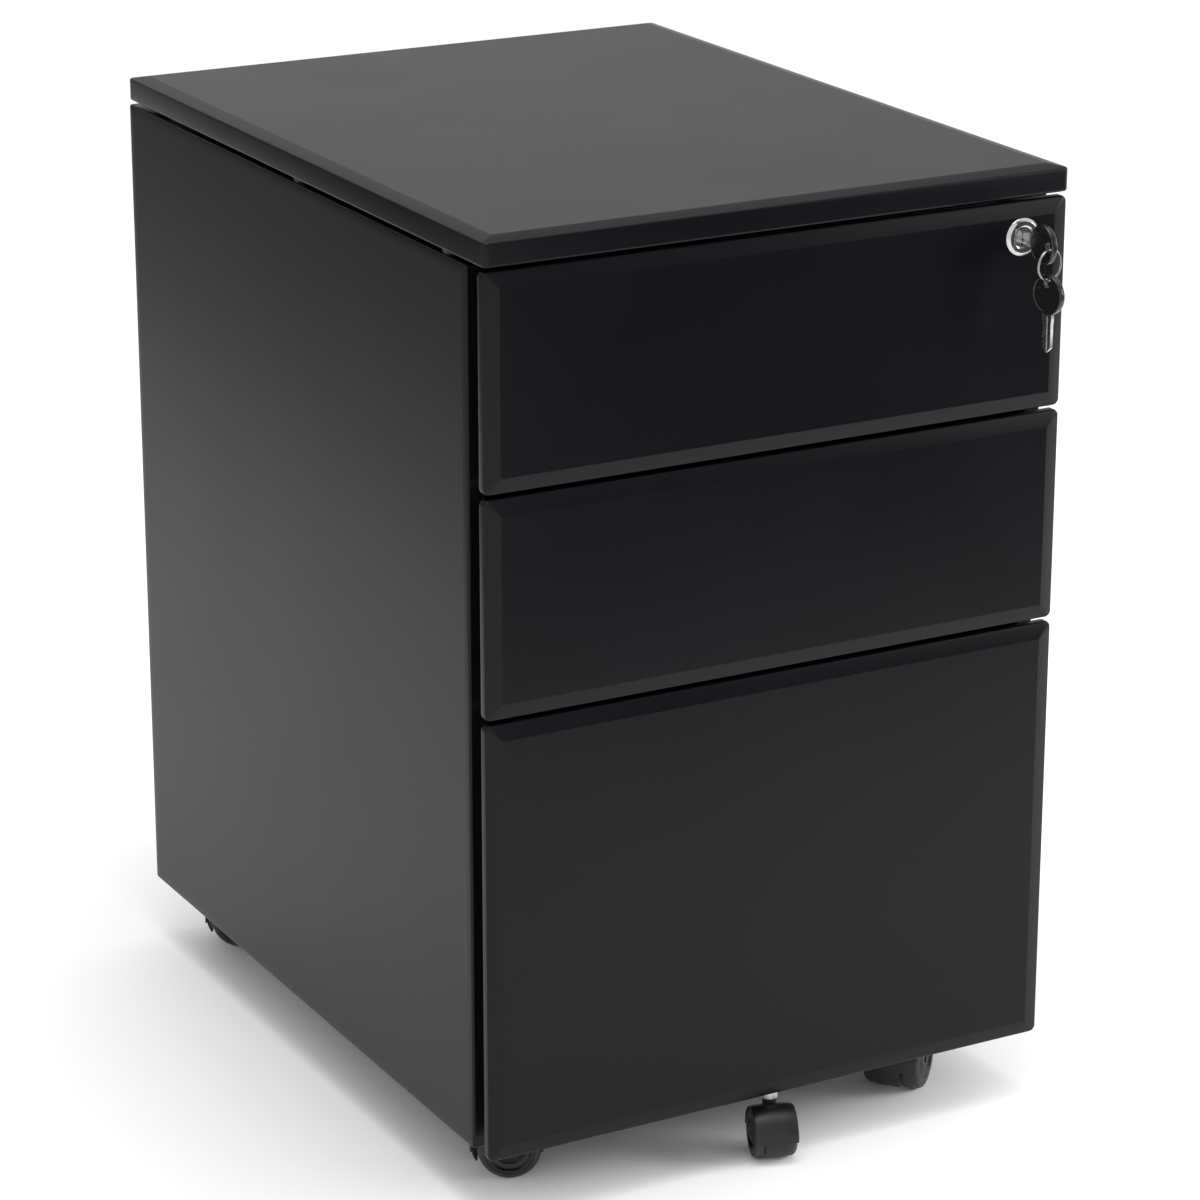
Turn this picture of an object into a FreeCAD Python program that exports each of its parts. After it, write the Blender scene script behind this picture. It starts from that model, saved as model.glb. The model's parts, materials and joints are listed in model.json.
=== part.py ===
import FreeCAD, Part

import math
import os

from FreeCAD import Placement, Rotation, Vector
import Sketcher

# A rolling pedestal cabinet: two box drawers over a file drawer in a folded steel carcase, a gang
# lock in the top drawer, twin-wheel casters under the corners and a fifth one under the file
# drawer. Millimetres, +Z up, the drawer fronts face -Y, and the floor is Z = 0.

doc = FreeCAD.newDocument("PedestalCabinet")
sheet = doc.addObject("Spreadsheet::Sheet", "Sizes")

SIZES = {
    # overall
    "cabinet_width": 390.0,
    "cabinet_depth": 503.0,
    "cabinet_height": 605.0,
    "sheet_metal": 1.0,
    # cap
    "cap_side_height": 14.3,
    "cap_rise": 2.2,
    "cap_rim": 10.0,
    "cap_corner": 3.5,
    "cap_return": 14.0,
    "cap_gap": 2.6,
    "cap_screw_from_back": 30.0,
    # drawer fronts
    "top_front_height": 129.4,
    "middle_front_height": 132.6,
    "front_gap": 2.6,
    "front_bevel": 9.75,
    "front_bevel_depth": 2.3,
    "front_corner": 4.0,
    "front_depth": 9.0,
    "front_return": 12.0,
    "finger_gap": 13.0,
    # carcase
    "upright_depth": 10.0,
    "upright_width": 30.0,
    "upright_metal": 1.5,
    "upright_end_gap": 4.0,
    "top_rail_height": 9.0,
    "top_rail_depth": 22.0,
    "base_recess": 8.0,
    "base_channel_width": 40.0,
    # ball slides
    "slide_width": 12.7,
    "slide_height": 42.0,
    "slide_metal": 1.2,
    "slide_start": 42.0,
    "slide_above_tray_floor": 10.0,
    "cabinet_member_flange": 8.9,
    "middle_member_height": 34.0,
    "middle_member_flange": 7.0,
    "middle_member_set_in": 3.8,
    "middle_member_front_gap": 1.0,
    "middle_member_back_gap": 10.0,
    "drawer_member_height": 24.0,
    "drawer_member_flange": 5.7,
    "box_slide_back_gap": 61.0,
    "file_slide_back_gap": 11.0,
    # trays
    "tray_headroom": 41.4,
    "box_tray_floor": 8.0,
    "file_tray_floor": 19.0,
    "tray_past_slide": 5.0,
    "file_rail_height": 26.0,
    "file_rail_above": 14.0,
    "file_rail_metal": 2.0,
    "file_rail_end_gap": 3.0,
    # lock gear
    "lock_from_side": 33.0,
    "lock_from_top": 21.0,
    "lock_barrel_radius": 8.0,
    "lock_barrel_length": 24.0,
    "bezel_radius": 11.6,
    "bezel_height": 3.0,
    "bezel_edge": 1.2,
    "plug_radius": 6.0,
    "plug_past_barrel": 0.6,
    "plug_recess": 0.4,
    "keyway_gap": 0.2,
    "running_clearance": 0.05,
    "lock_nut_radius": 12.0,
    "lock_nut_height": 4.0,
    "cam_arm": 16.0,
    "cam_metal": 2.2,
    "cam_pin_radius": 2.5,
    "cam_end_gap": 0.5,
    "bar_set_back": 31.0,
    "bar_metal": 3.0,
    "bar_width": 6.0,
    "bar_side_gap": 2.0,
    "bar_tail": 30.0,
    "shelf_past_pin": 2.0,
    "guide_gap": 0.3,
    "guide_wall": 2.0,
    "guide_height": 12.0,
    "guide_above_hook": 46.0,
    "hook_side_gap": 3.0,
    "hook_height": 10.0,
    "hook_clearance": 2.5,
    "catch_height": 12.0,
    "catch_side_gap": 1.5,
    "catch_above_tray_floor": 66.0,
    # keys
    "bow_standoff": 11.0,
    "bow_length": 24.0,
    "bow_thickness": 4.0,
    "bow_hole_inset": 5.0,
    "bow_hole_radius": 2.8,
    "blade_width": 8.0,
    "blade_thickness": 2.2,
    "blade_length": 23.0,
    "ring_radius": 9.2,
    "ring_wire": 0.8,
    "ring_gap": 0.5,
    "ring_turn": 10.0,
    # corner casters
    "caster_inset": 59.0,
    "front_caster_set_back": 63.0,
    "rear_caster_from_back": 40.0,
    "corner_wheel_radius": 19.6,
    "corner_wheel_width": 12.5,
    "corner_spine_width": 11.0,
    "corner_hood_shift": 1.5,
    "corner_hood_gap": 0.5,
    "corner_trail": 12.0,
    "corner_pin_radius": 3.5,
    "corner_tongue": 16.0,
    "corner_tongue_low": 7.0,
    "corner_hub_radius": 8.8,
    "corner_wheel_shoulder": 2.0,
    "corner_dish_radius": 14.0,
    "corner_wheel_hub_radius": 5.6,
    "front_left_trail_angle": 151.0,
    "front_right_trail_angle": 220.0,
    "rear_left_trail_angle": 151.0,
    "rear_right_trail_angle": 236.0,
    # fifth caster
    "fifth_caster_x": 5.7,
    "fifth_caster_set_back": 14.0,
    "fifth_wheel_radius": 15.6,
    "fifth_wheel_width": 8.7,
    "fifth_spine_width": 8.8,
    "fifth_hood_shift": 0.3,
    "fifth_hood_gap": 0.4,
    "fifth_trail": 8.2,
    "fifth_pin_radius": 3.0,
    "fifth_tongue": 15.0,
    "fifth_tongue_low": 5.0,
    "fifth_hub_radius": 7.0,
    "fifth_wheel_shoulder": 1.4,
    "fifth_dish_radius": 11.2,
    "fifth_wheel_hub_radius": 4.6,
    "fifth_trail_angle": 252.0,
    "fifth_stem_length": 8.0,
    "bracket_length": 56.0,
    "bracket_metal": 1.5,
    "bracket_gap": 0.3,
    # every caster
    "hood_wall": 1.5,
    "hood_skirt": 1.0,
    "wheel_side_gap": 0.4,
    "axle_radius": 2.5,
    "collar_radius": 5.2,
    "corner_collar_length": 5.9,
    "stem_step": 1.0,
    "stem_end_gap": 0.4,
    "stem_past_channel": 0.6,
    "stem_to_tray_gap": 0.4,
    "pin_above_axle": 2.0,
    "hood_boss_height": 2.0,
    # fastenings
    "screw_radius": 2.0,
    "screw_head_radius": 4.0,
    "screw_head_height": 1.8,
    "screw_past_sheet": 2.0,
    # sizes that follow from others
    "corner_hood_inner": "=corner_wheel_radius + corner_hood_shift + corner_hood_gap",
    "fifth_hood_inner": "=fifth_wheel_radius + fifth_hood_shift + fifth_hood_gap",
    "corner_hood_top": "=corner_wheel_radius + corner_hood_inner + hood_wall",
    "fifth_hood_top": "=fifth_wheel_radius + fifth_hood_inner + hood_wall",
    "floor_clearance": "=corner_hood_top + hood_boss_height + stem_end_gap"
                       " + corner_collar_length - base_recess",
    "base_channel_height": "=file_tray_floor - base_recess - sheet_metal"
                           " - stem_past_channel - stem_to_tray_gap",
}
PAST = "1"  # how far a cutting shape runs past the face that it cuts
RIVETS_PER_SIDE = 4
SCREW_SHARES = ("0.2", "0.8")  # heights of the screws in a tray's front wall

for row, (alias, number) in enumerate(SIZES.items(), start=1):
    sheet.set(f"A{row}", alias)
    sheet.set(f"B{row}", str(number))
    sheet.setAlias(f"B{row}", alias)
doc.recompute()


# ---------------------------------------------------------------- places worked out from sizes


def size(name):
    """The expression that reads one cell of the sheet."""
    return f"Sizes.{name}"


def value(expression):
    """The number that an expression gives now."""
    return float(sheet.evalExpression(expression))


METAL = size("sheet_metal")
HALF_WIDTH = "(Sizes.cabinet_width / 2)"
HOLE_REACH = "(Sizes.bow_standoff + Sizes.bow_length - Sizes.bow_hole_inset)"
KEY_REACH = f"({HOLE_REACH} + Sizes.bow_length / 2)"
FRONT = f"(({KEY_REACH} - Sizes.cabinet_depth) / 2)"
CAP_BOTTOM = "(Sizes.cabinet_height - Sizes.cap_rise - Sizes.cap_side_height)"
CARCASE_TOP = f"({CAP_BOTTOM} - Sizes.cap_gap)"
PANEL_FRONT = "(Sizes.front_depth + Sizes.finger_gap)"
UPRIGHT_FACE = f"({HALF_WIDTH} - {METAL} - Sizes.upright_depth)"
TRAY_HALF = f"({UPRIGHT_FACE} - Sizes.slide_width)"
BASE_PAN_Z = "(Sizes.floor_clearance + Sizes.base_recess)"
STEM_RADIUS = "(Sizes.collar_radius - Sizes.stem_step)"
LOCK_X = f"({HALF_WIDTH} - Sizes.lock_from_side)"
LOCK_Z = f"({CARCASE_TOP} - Sizes.lock_from_top)"


def behind(distance):
    """Y of a plane that lies this far behind the drawer fronts."""
    return f"({FRONT} + {distance})"


FRONT_HEIGHT = {
    1: size("top_front_height"),
    2: size("middle_front_height"),
    3: f"({CARCASE_TOP} - Sizes.floor_clearance - Sizes.top_front_height"
       " - Sizes.middle_front_height - 2 * Sizes.front_gap)",
}
FRONT_TOP = {1: CARCASE_TOP}
FRONT_TOP[2] = f"({FRONT_TOP[1]} - {FRONT_HEIGHT[1]} - Sizes.front_gap)"
FRONT_TOP[3] = f"({FRONT_TOP[2]} - {FRONT_HEIGHT[2]} - Sizes.front_gap)"
KIND = {1: "box", 2: "box", 3: "file"}
SET_BACK = {
    "front": size("front_caster_set_back"),
    "rear": "(Sizes.cabinet_depth - Sizes.rear_caster_from_back)",
}


def tray_floor(drawer):
    """Z of the underside of a drawer's tray."""
    rise = size(f"{KIND[drawer]}_tray_floor")
    return f"({FRONT_TOP[drawer]} - {FRONT_HEIGHT[drawer]} + {rise})"


def tray_height(drawer):
    rise = size(f"{KIND[drawer]}_tray_floor")
    return f"({FRONT_HEIGHT[drawer]} - {rise} - Sizes.tray_headroom)"


def slide_back(drawer):
    """How far behind the fronts the back end of a drawer's slides lies."""
    return f"(Sizes.cabinet_depth - Sizes.{KIND[drawer]}_slide_back_gap)"


# ---------------------------------------------------------------- drawing helpers

nodes = {}


def keep(name, thing):
    """Make an object of the document the node that carries this name."""
    thing.Label = name
    nodes[name] = thing
    return thing


def move(thing, x, y, z):
    for axis, expression in zip("xyz", (x, y, z)):
        thing.setExpression(f"Placement.Base.{axis}", expression)


def box(name, x, y, z):
    """A block between pairs of planes, each pair the two expressions (low, high)."""
    block = doc.addObject("Part::Box", name)
    for prop, (low, high) in zip(("Length", "Width", "Height"), (x, y, z)):
        block.setExpression(prop, f"({high}) - ({low})")
    move(block, x[0], y[0], z[0])
    return block


ALONG = {"Y": Rotation(Vector(1, 0, 0), -90), "Z": Rotation()}


def rod(name, radius, length, start, axis="Z"):
    """A round bar that runs from start along +Y or +Z."""
    bar = doc.addObject("Part::Cylinder", name)
    bar.setExpression("Radius", radius)
    bar.setExpression("Height", length)
    bar.Placement = Placement(Vector(), ALONG[axis])
    move(bar, *start)
    return bar


def cut(name, base, tool):
    piece = doc.addObject("Part::Cut", name)
    piece.Base = base
    piece.Tool = tool
    return piece


def fuse(name, *pieces):
    joined = doc.addObject("Part::MultiFuse", name)
    joined.Shapes = list(pieces)
    joined.Refine = True
    return joined


def group(name, *pieces):
    """Separate solids that share one node."""
    compound = doc.addObject("Part::Compound", name)
    compound.Links = list(pieces)
    return compound


def mirrored(name, source):
    """The left-hand twin of a right-hand piece."""
    twin = doc.addObject("Part::Mirroring", name)
    twin.Source = source
    twin.Normal = Vector(1, 0, 0)
    twin.Base = Vector()
    return twin


def pair(name, right):
    """A node that holds a right-hand piece and its left-hand twin."""
    return keep(name, group(f"{name}_pair", right, mirrored(f"{name}_left", right)))


def new_body(name):
    return doc.addObject("PartDesign::Body", name)


def new_sketch(body, plane, lift="0"):
    """A sketch on one of the body's own origin planes, raised along that plane's normal."""
    sketch = body.newObject("Sketcher::SketchObject", f"{body.Name}_sketch")
    base = next(f for f in body.Origin.OriginFeatures if f.Role == f"{plane}_Plane")
    sketch.AttachmentSupport = (base, "")
    sketch.MapMode = "FlatFace"
    sketch.setExpression("AttachmentOffset.Base.z", lift)
    return sketch


def pin(sketch, curve, point, x, y):
    """Hold one point of a curve at the place two expressions give."""
    for kind, expression in (("DistanceX", x), ("DistanceY", y)):
        rule = Sketcher.Constraint(kind, -1, 1, curve, point, value(expression))
        sketch.setExpression(f"Constraints[{sketch.addConstraint(rule)}]", expression)


def hold_radius(sketch, curve, radius):
    rule = Sketcher.Constraint("Radius", curve, value(radius))
    sketch.setExpression(f"Constraints[{sketch.addConstraint(rule)}]", radius)


def draw_polygon(sketch, points):
    spots = [Vector(value(x), value(y), 0) for x, y in points]
    first = sketch.GeometryCount
    for start, end in zip(spots, spots[1:] + spots[:1]):
        sketch.addGeometry(Part.LineSegment(start, end), False)
    for number, (x, y) in enumerate(points):
        line = first + number
        following = first + (number + 1) % len(points)
        sketch.addConstraint(Sketcher.Constraint("Coincident", line, 2, following, 1))
        pin(sketch, line, 1, x, y)


def draw_circle(sketch, x, y, radius):
    centre = Vector(value(x), value(y), 0)
    circle = sketch.addGeometry(Part.Circle(centre, Vector(0, 0, 1), value(radius)), False)
    pin(sketch, circle, 3, x, y)
    hold_radius(sketch, circle, radius)


def draw_rounded_rectangle(sketch, half_x, half_y, radius):
    """A rectangle about the origin with round corners, every tangent point pinned."""
    quarter = math.pi / 2
    quadrants = ((1, 1), (-1, 1), (-1, -1), (1, -1))
    steps = ((1, 0), (0, 1), (-1, 0), (0, -1))
    corners = []
    for number, (side_x, side_y) in enumerate(quadrants):
        middle_x = f"{side_x} * ({half_x} - {radius})"
        middle_y = f"{side_y} * ({half_y} - {radius})"
        centre = Vector(value(middle_x), value(middle_y), 0)
        circle = Part.Circle(centre, Vector(0, 0, 1), value(radius))
        arc = Part.ArcOfCircle(circle, number * quarter, (number + 1) * quarter)
        corners.append(sketch.addGeometry(arc, False))
        for point, (step_x, step_y) in ((1, steps[number]), (2, steps[(number + 1) % 4])):
            x = f"{middle_x} + {step_x} * {radius}"
            y = f"{middle_y} + {step_y} * {radius}"
            pin(sketch, corners[-1], point, x, y)
        hold_radius(sketch, corners[-1], radius)
    for here, there in zip(corners, corners[1:] + corners[:1]):
        start = sketch.getPoint(here, 2)
        end = sketch.getPoint(there, 1)
        line = sketch.addGeometry(Part.LineSegment(start, end), False)
        sketch.addConstraint(Sketcher.Constraint("Coincident", here, 2, line, 1))
        sketch.addConstraint(Sketcher.Constraint("Coincident", line, 2, there, 1))


def pad(body, sketch, length, both_ways=False, backwards=False):
    feature = body.newObject("PartDesign::Pad", f"{body.Name}_pad")
    feature.Profile = sketch
    feature.setExpression("Length", length)
    feature.Midplane = both_ways
    feature.Reversed = backwards
    return feature


def pocket(body, sketch, depth, both_ways=False, backwards=False):
    feature = body.newObject("PartDesign::Pocket", f"{body.Name}_pocket")
    feature.Profile = sketch
    feature.setExpression("Length", depth)
    feature.Midplane = both_ways
    feature.Reversed = backwards
    return feature


def loft(body, kind, first, last):
    """A ruled skin between two sketches that have the same number of edges."""
    feature = body.newObject(f"PartDesign::{kind}Loft", f"{body.Name}_loft")
    feature.Profile = first
    feature.Sections = [last]
    feature.Ruled = True
    return feature


def revolve(body, sketch):
    """A full turn of the sketch about its own vertical axis."""
    feature = body.newObject("PartDesign::Revolution", f"{body.Name}_turned")
    feature.Profile = sketch
    feature.ReferenceAxis = (sketch, ["V_Axis"])
    feature.Angle = 360
    return feature


# ---------------------------------------------------------------- folded pans


def folded_pan(name, half_x, half_y, depth, rim, rise, corner, flange):
    """A tray folded from sheet, open side down: returned edge, wall, bevelled rim and flat face.

    The pan stands on Z = 0 about the origin, its face at Z = depth.
    """
    body = new_body(name)
    shoulder = f"({depth} - {rise})"
    inner_corner = f"({corner} - {METAL})"
    face_corner = f"({METAL} / 2)"

    def ring(lift, inset, inside_corner, height):
        sketch = new_sketch(body, "XY", lift)
        draw_rounded_rectangle(sketch, half_x, half_y, corner)
        draw_rounded_rectangle(
            sketch, f"({half_x} - {inset})", f"({half_y} - {inset})", inside_corner)
        pad(body, sketch, height)

    def outline(lift, inset, radius):
        sketch = new_sketch(body, "XY", lift)
        draw_rounded_rectangle(
            sketch, f"({half_x} - {inset})", f"({half_y} - {inset})", radius)
        return sketch

    ring("0", flange, inner_corner, METAL)
    ring(METAL, METAL, inner_corner, f"{shoulder} - {METAL}")
    loft(body, "Additive",
         outline(shoulder, "0", corner),
         outline(depth, rim, face_corner))
    loft(body, "Subtractive",
         outline(f"{shoulder} - {METAL}", METAL, inner_corner),
         outline(f"{depth} - {METAL}", f"({rim} + {METAL})", face_corner))
    return body


# Screws between the carcase's top flanges and the cap: distance behind the fronts, per side.
CAP_SCREW_X = "(Sizes.cabinet_width / 2 - Sizes.cap_return / 2 - Sizes.sheet_metal)"
CAP_SCREW_SET_BACKS = (
    f"({PANEL_FRONT} + {METAL} + Sizes.top_rail_depth + 2 * Sizes.screw_head_radius)",
    "(Sizes.cabinet_depth / 2)",
    "(Sizes.cabinet_depth - Sizes.cap_screw_from_back)",
)


def cap_top():
    half_depth = "(Sizes.cabinet_depth / 2)"
    body = folded_pan(
        "cap_top", HALF_WIDTH, half_depth,
        "(Sizes.cap_side_height + Sizes.cap_rise)", size("cap_rim"), size("cap_rise"),
        size("cap_corner"), size("cap_return"))
    holes = new_sketch(body, "XY")
    for side in (-1, 1):
        for set_back in CAP_SCREW_SET_BACKS:
            draw_circle(holes, f"{side} * {CAP_SCREW_X}", f"{set_back} - {half_depth}",
                        size("screw_radius"))
    pocket(body, holes, METAL, backwards=True)
    move(body, "0", behind(half_depth), CAP_BOTTOM)
    keep("cap_top", body)


def drawer_front(drawer):
    name = f"drawer_{drawer}_front"
    half_height = f"({FRONT_HEIGHT[drawer]} / 2)"
    body = folded_pan(
        name, HALF_WIDTH, half_height, size("front_depth"), size("front_bevel"),
        size("front_bevel_depth"), size("front_corner"), size("front_return"))
    if drawer == 1:
        sketch = new_sketch(body, "XY", size("front_depth"))
        draw_circle(sketch, LOCK_X, f"{half_height} - Sizes.lock_from_top",
                    "(Sizes.lock_barrel_radius + Sizes.running_clearance)")
        pocket(body, sketch, METAL)
    body.Placement = Placement(Vector(), Rotation(Vector(1, 0, 0), 90))
    move(body, "0", behind("Sizes.front_depth"), f"{FRONT_TOP[drawer]} - {half_height}")
    keep(name, body)


# ---------------------------------------------------------------- carcase


def side_panel():
    """Right-hand side: a wall with a narrow flange turned in along all four edges."""
    body = new_body("right_side_panel")
    back = size("cabinet_depth")

    def rectangle(inset, lift):
        sketch = new_sketch(body, "YZ", lift)
        low_y = behind(f"{PANEL_FRONT} + {inset}")
        high_y = behind(f"{back} - {inset}")
        low_z = f"Sizes.floor_clearance + {inset}"
        high_z = f"{CARCASE_TOP} - {inset}"
        draw_polygon(sketch, [(low_y, low_z), (high_y, low_z), (high_y, high_z), (low_y, high_z)])
        return sketch

    pad(body, rectangle("0", UPRIGHT_FACE), f"{HALF_WIDTH} - {UPRIGHT_FACE}")
    pocket(body, rectangle(METAL, UPRIGHT_FACE), "Sizes.upright_depth", backwards=True)
    holes = new_sketch(body, "XY", CARCASE_TOP)
    for set_back in CAP_SCREW_SET_BACKS:
        draw_circle(holes, CAP_SCREW_X, behind(set_back), size("screw_radius"))
    pocket(body, holes, METAL)
    keep("right_side_panel", body)
    keep("left_side_panel", mirrored("left_side_panel", body))


def back_panel():
    plate = box(
        "back_panel",
        (f"-({HALF_WIDTH} - {METAL})", f"{HALF_WIDTH} - {METAL}"),
        (behind(f"Sizes.cabinet_depth - 2 * {METAL}"), behind(f"Sizes.cabinet_depth - {METAL}")),
        (f"Sizes.floor_clearance + {METAL}", f"{CARCASE_TOP} - {METAL}"))
    keep("back_panel", plate)


def back_panel_rivets():
    """Rivets through the back panel into the flanges of the two sides."""
    rivets = []
    x = f"{HALF_WIDTH} - Sizes.upright_depth / 2 - {METAL} / 2"
    for number in range(RIVETS_PER_SIDE):
        z = (f"Sizes.floor_clearance + ({CARCASE_TOP} - Sizes.floor_clearance)"
             f" * ({number} + 0.5) / {RIVETS_PER_SIDE}")
        shank = rod(f"rivet_shank_{number}", "Sizes.screw_radius - Sizes.running_clearance",
                    METAL, (x, behind(f"Sizes.cabinet_depth - 3 * {METAL}"), z), "Y")
        rivets.append(shank)
    right = group("right_rivets", *rivets)
    pair("back_panel_rivets", right)


def stem_holes(name, places):
    """Cutters for the holes that stems pass through, from the floor clearance up."""
    depth = f"Sizes.base_recess + Sizes.base_channel_height + {METAL} + {PAST}"
    return group(f"{name}_stem_holes", *[
        rod(f"{name}_stem_hole_{corner}", STEM_RADIUS, depth, (x, y, size("floor_clearance")))
        for corner, (x, y) in places.items()])


def base_pan():
    """The bottom sheet with its front and back edges folded down."""
    x = (f"-({HALF_WIDTH} - {METAL})", f"{HALF_WIDTH} - {METAL}")
    front = behind(f"{PANEL_FRONT} + 2 * {METAL}")
    back = behind(f"Sizes.cabinet_depth - 2 * {METAL}")
    low = f"Sizes.floor_clearance + {METAL}"
    plate = box("base_plate", x, (front, back), (BASE_PAN_Z, f"{BASE_PAN_Z} + {METAL}"))
    front_fold = box("base_front_fold", x, (front, f"{front} + {METAL}"), (low, BASE_PAN_Z))
    back_fold = box("base_back_fold", x, (f"{back} - {METAL}", back), (low, BASE_PAN_Z))
    sheet_piece = fuse("base_sheet", plate, front_fold, back_fold)
    keep("base_pan", cut("base_pan", sheet_piece, stem_holes("base", corner_places())))


def base_channels():
    """Two cross channels on the base pan that hold the caster stems."""
    pieces = []
    for end in ("front", "rear"):
        middle = SET_BACK[end]
        half = "Sizes.base_channel_width / 2"
        x = (f"-{UPRIGHT_FACE}", UPRIGHT_FACE)
        low = f"{BASE_PAN_Z} + {METAL}"
        high = f"{low} + Sizes.base_channel_height"
        outer = box(f"{end}_channel_outer", x,
                    (behind(f"{middle} - {half}"), behind(f"{middle} + {half}")), (low, high))
        inner = box(f"{end}_channel_inner",
                    (f"-{UPRIGHT_FACE} - {PAST}", f"{UPRIGHT_FACE} + {PAST}"),
                    (behind(f"{middle} - {half} + 2 * {METAL}"),
                     behind(f"{middle} + {half} - 2 * {METAL}")),
                    (f"{low} - {PAST}", f"{high} - 2 * {METAL}"))
        hollow = cut(f"{end}_channel_hollow", outer, inner)
        places = {c: place for c, place in corner_places().items() if c.startswith(end)}
        pieces.append(cut(f"{end}_channel", hollow, stem_holes(f"{end}_channel", places)))
    keep("base_channels", group("base_channel_group", *pieces))


def front_top_rail():
    """A channel across the top of the opening, above the lock."""
    x = (f"-({HALF_WIDTH} - {METAL})", f"{HALF_WIDTH} - {METAL}")
    front = f"{PANEL_FRONT} + {METAL}"
    high = f"{CARCASE_TOP} - {METAL}"
    low = f"{high} - Sizes.top_rail_height"
    outer = box("rail_outer", x, (behind(front), behind(f"{front} + Sizes.top_rail_depth")),
                (low, high))
    inner = box("rail_inner", (f"{x[0]} - {PAST}", f"{x[1]} + {PAST}"),
                (behind(f"{front} + {METAL}"),
                 behind(f"{front} + Sizes.top_rail_depth + {PAST}")),
                (f"{low} + {METAL}", f"{high} - {METAL}"))
    keep("front_top_rail", cut("front_top_rail", outer, inner))


def slide_uprights():
    """Channels on the inside of both sides that the slides hook into."""
    uprights = []
    wall = size("upright_metal")
    back = f"({slide_back(1)} - Sizes.upright_end_gap)"
    spans = {
        "front": (size("slide_start"), "Sizes.slide_start + Sizes.upright_width"),
        "rear": (f"{back} - Sizes.upright_width", back),
    }
    for end, (near, far) in spans.items():
        z = (f"{BASE_PAN_Z} + {METAL}", f"{CARCASE_TOP} - {METAL} - Sizes.top_rail_height")
        outer = box(f"{end}_upright_outer", (UPRIGHT_FACE, f"{HALF_WIDTH} - {METAL}"),
                    (behind(near), behind(far)), z)
        inner = box(f"{end}_upright_inner", (f"{UPRIGHT_FACE} + {wall}", HALF_WIDTH),
                    (behind(f"{near} + {wall}"), behind(f"{far} - {wall}")),
                    (f"{z[0]} - {PAST}", f"{z[1]} + {PAST}"))
        uprights.append(cut(f"{end}_upright", outer, inner))
    pair("slide_uprights", group("right_uprights", *uprights))


def cap_fastenings():
    """Round spacers between carcase and cap, and the screws driven up into the cap."""
    spacers = []
    screws = []
    places = [(f"{side} * {CAP_SCREW_X}", behind(set_back))
              for side in (-1, 1) for set_back in CAP_SCREW_SET_BACKS]
    shank_radius = "(Sizes.screw_radius - Sizes.running_clearance)"
    head_top = f"({CARCASE_TOP} - {METAL})"
    for number, (x, y) in enumerate(places):
        disc = rod(f"spacer_disc_{number}", f"(Sizes.cap_return / 2 - {METAL})",
                   size("cap_gap"), (x, y, CARCASE_TOP))
        hole = rod(f"spacer_hole_{number}", size("screw_radius"), f"Sizes.cap_gap + 2 * {PAST}",
                   (x, y, f"{CARCASE_TOP} - {PAST}"))
        spacers.append(cut(f"spacer_{number}", disc, hole))
        head = rod(f"screw_head_{number}", size("screw_head_radius"), size("screw_head_height"),
                   (x, y, f"{head_top} - Sizes.screw_head_height"))
        shank = rod(f"screw_shank_{number}", shank_radius,
                    f"Sizes.cap_gap + 2 * {METAL} + Sizes.screw_past_sheet", (x, y, head_top))
        screws.append(fuse(f"cap_screw_{number}", head, shank))
    keep("cap_spacers", group("cap_spacer_group", *spacers))
    keep("cap_screws", group("cap_screw_group", *screws))


# ---------------------------------------------------------------- drawers


def channel(name, web, tip, y, middle_z, height, metal):
    """A C section along Y: its web at x = web, its two flanges reaching to x = tip."""
    low = f"({middle_z} - {height} / 2)"
    high = f"({middle_z} + {height} / 2)"
    outwards = value(web) > value(tip)
    x = (tip, web) if outwards else (web, tip)
    hollow_x = (f"{tip} - {PAST}", f"{web} - {metal}")
    if not outwards:
        hollow_x = (f"{web} + {metal}", f"{tip} + {PAST}")
    outer = box(f"{name}_outer", x, y, (low, high))
    inner = box(f"{name}_inner", hollow_x, (f"{y[0]} - {PAST}", f"{y[1]} + {PAST}"),
                (f"{low} + {metal}", f"{high} - {metal}"))
    return cut(name, outer, inner)


def drawer_slides(drawer):
    """Cabinet, middle and drawer members of one pair of full-extension ball slides."""
    metal = size("slide_metal")
    middle_z = (f"({tray_floor(drawer)} + Sizes.slide_above_tray_floor"
                " + Sizes.slide_height / 2)")
    start = size("slide_start")
    back = slide_back(drawer)
    whole = (behind(start), behind(back))
    short = (behind(f"{start} + Sizes.middle_member_front_gap"),
             behind(f"{back} - Sizes.middle_member_back_gap"))
    cabinet = channel(f"cabinet_member_{drawer}", UPRIGHT_FACE,
                      f"({UPRIGHT_FACE} - Sizes.cabinet_member_flange)",
                      whole, middle_z, size("slide_height"), metal)
    middle_web = f"({UPRIGHT_FACE} - Sizes.middle_member_set_in)"
    middle = channel(f"middle_member_{drawer}", middle_web,
                     f"({middle_web} - Sizes.middle_member_flange)",
                     short, middle_z, size("middle_member_height"), metal)
    inner = channel(f"drawer_member_{drawer}", TRAY_HALF,
                    f"({TRAY_HALF} + Sizes.drawer_member_flange)",
                    whole, middle_z, size("drawer_member_height"), metal)
    pair(f"drawer_{drawer}_cabinet_members", cabinet)
    pair(f"drawer_{drawer}_middle_members", middle)
    pair(f"drawer_{drawer}_drawer_members", inner)


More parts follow.
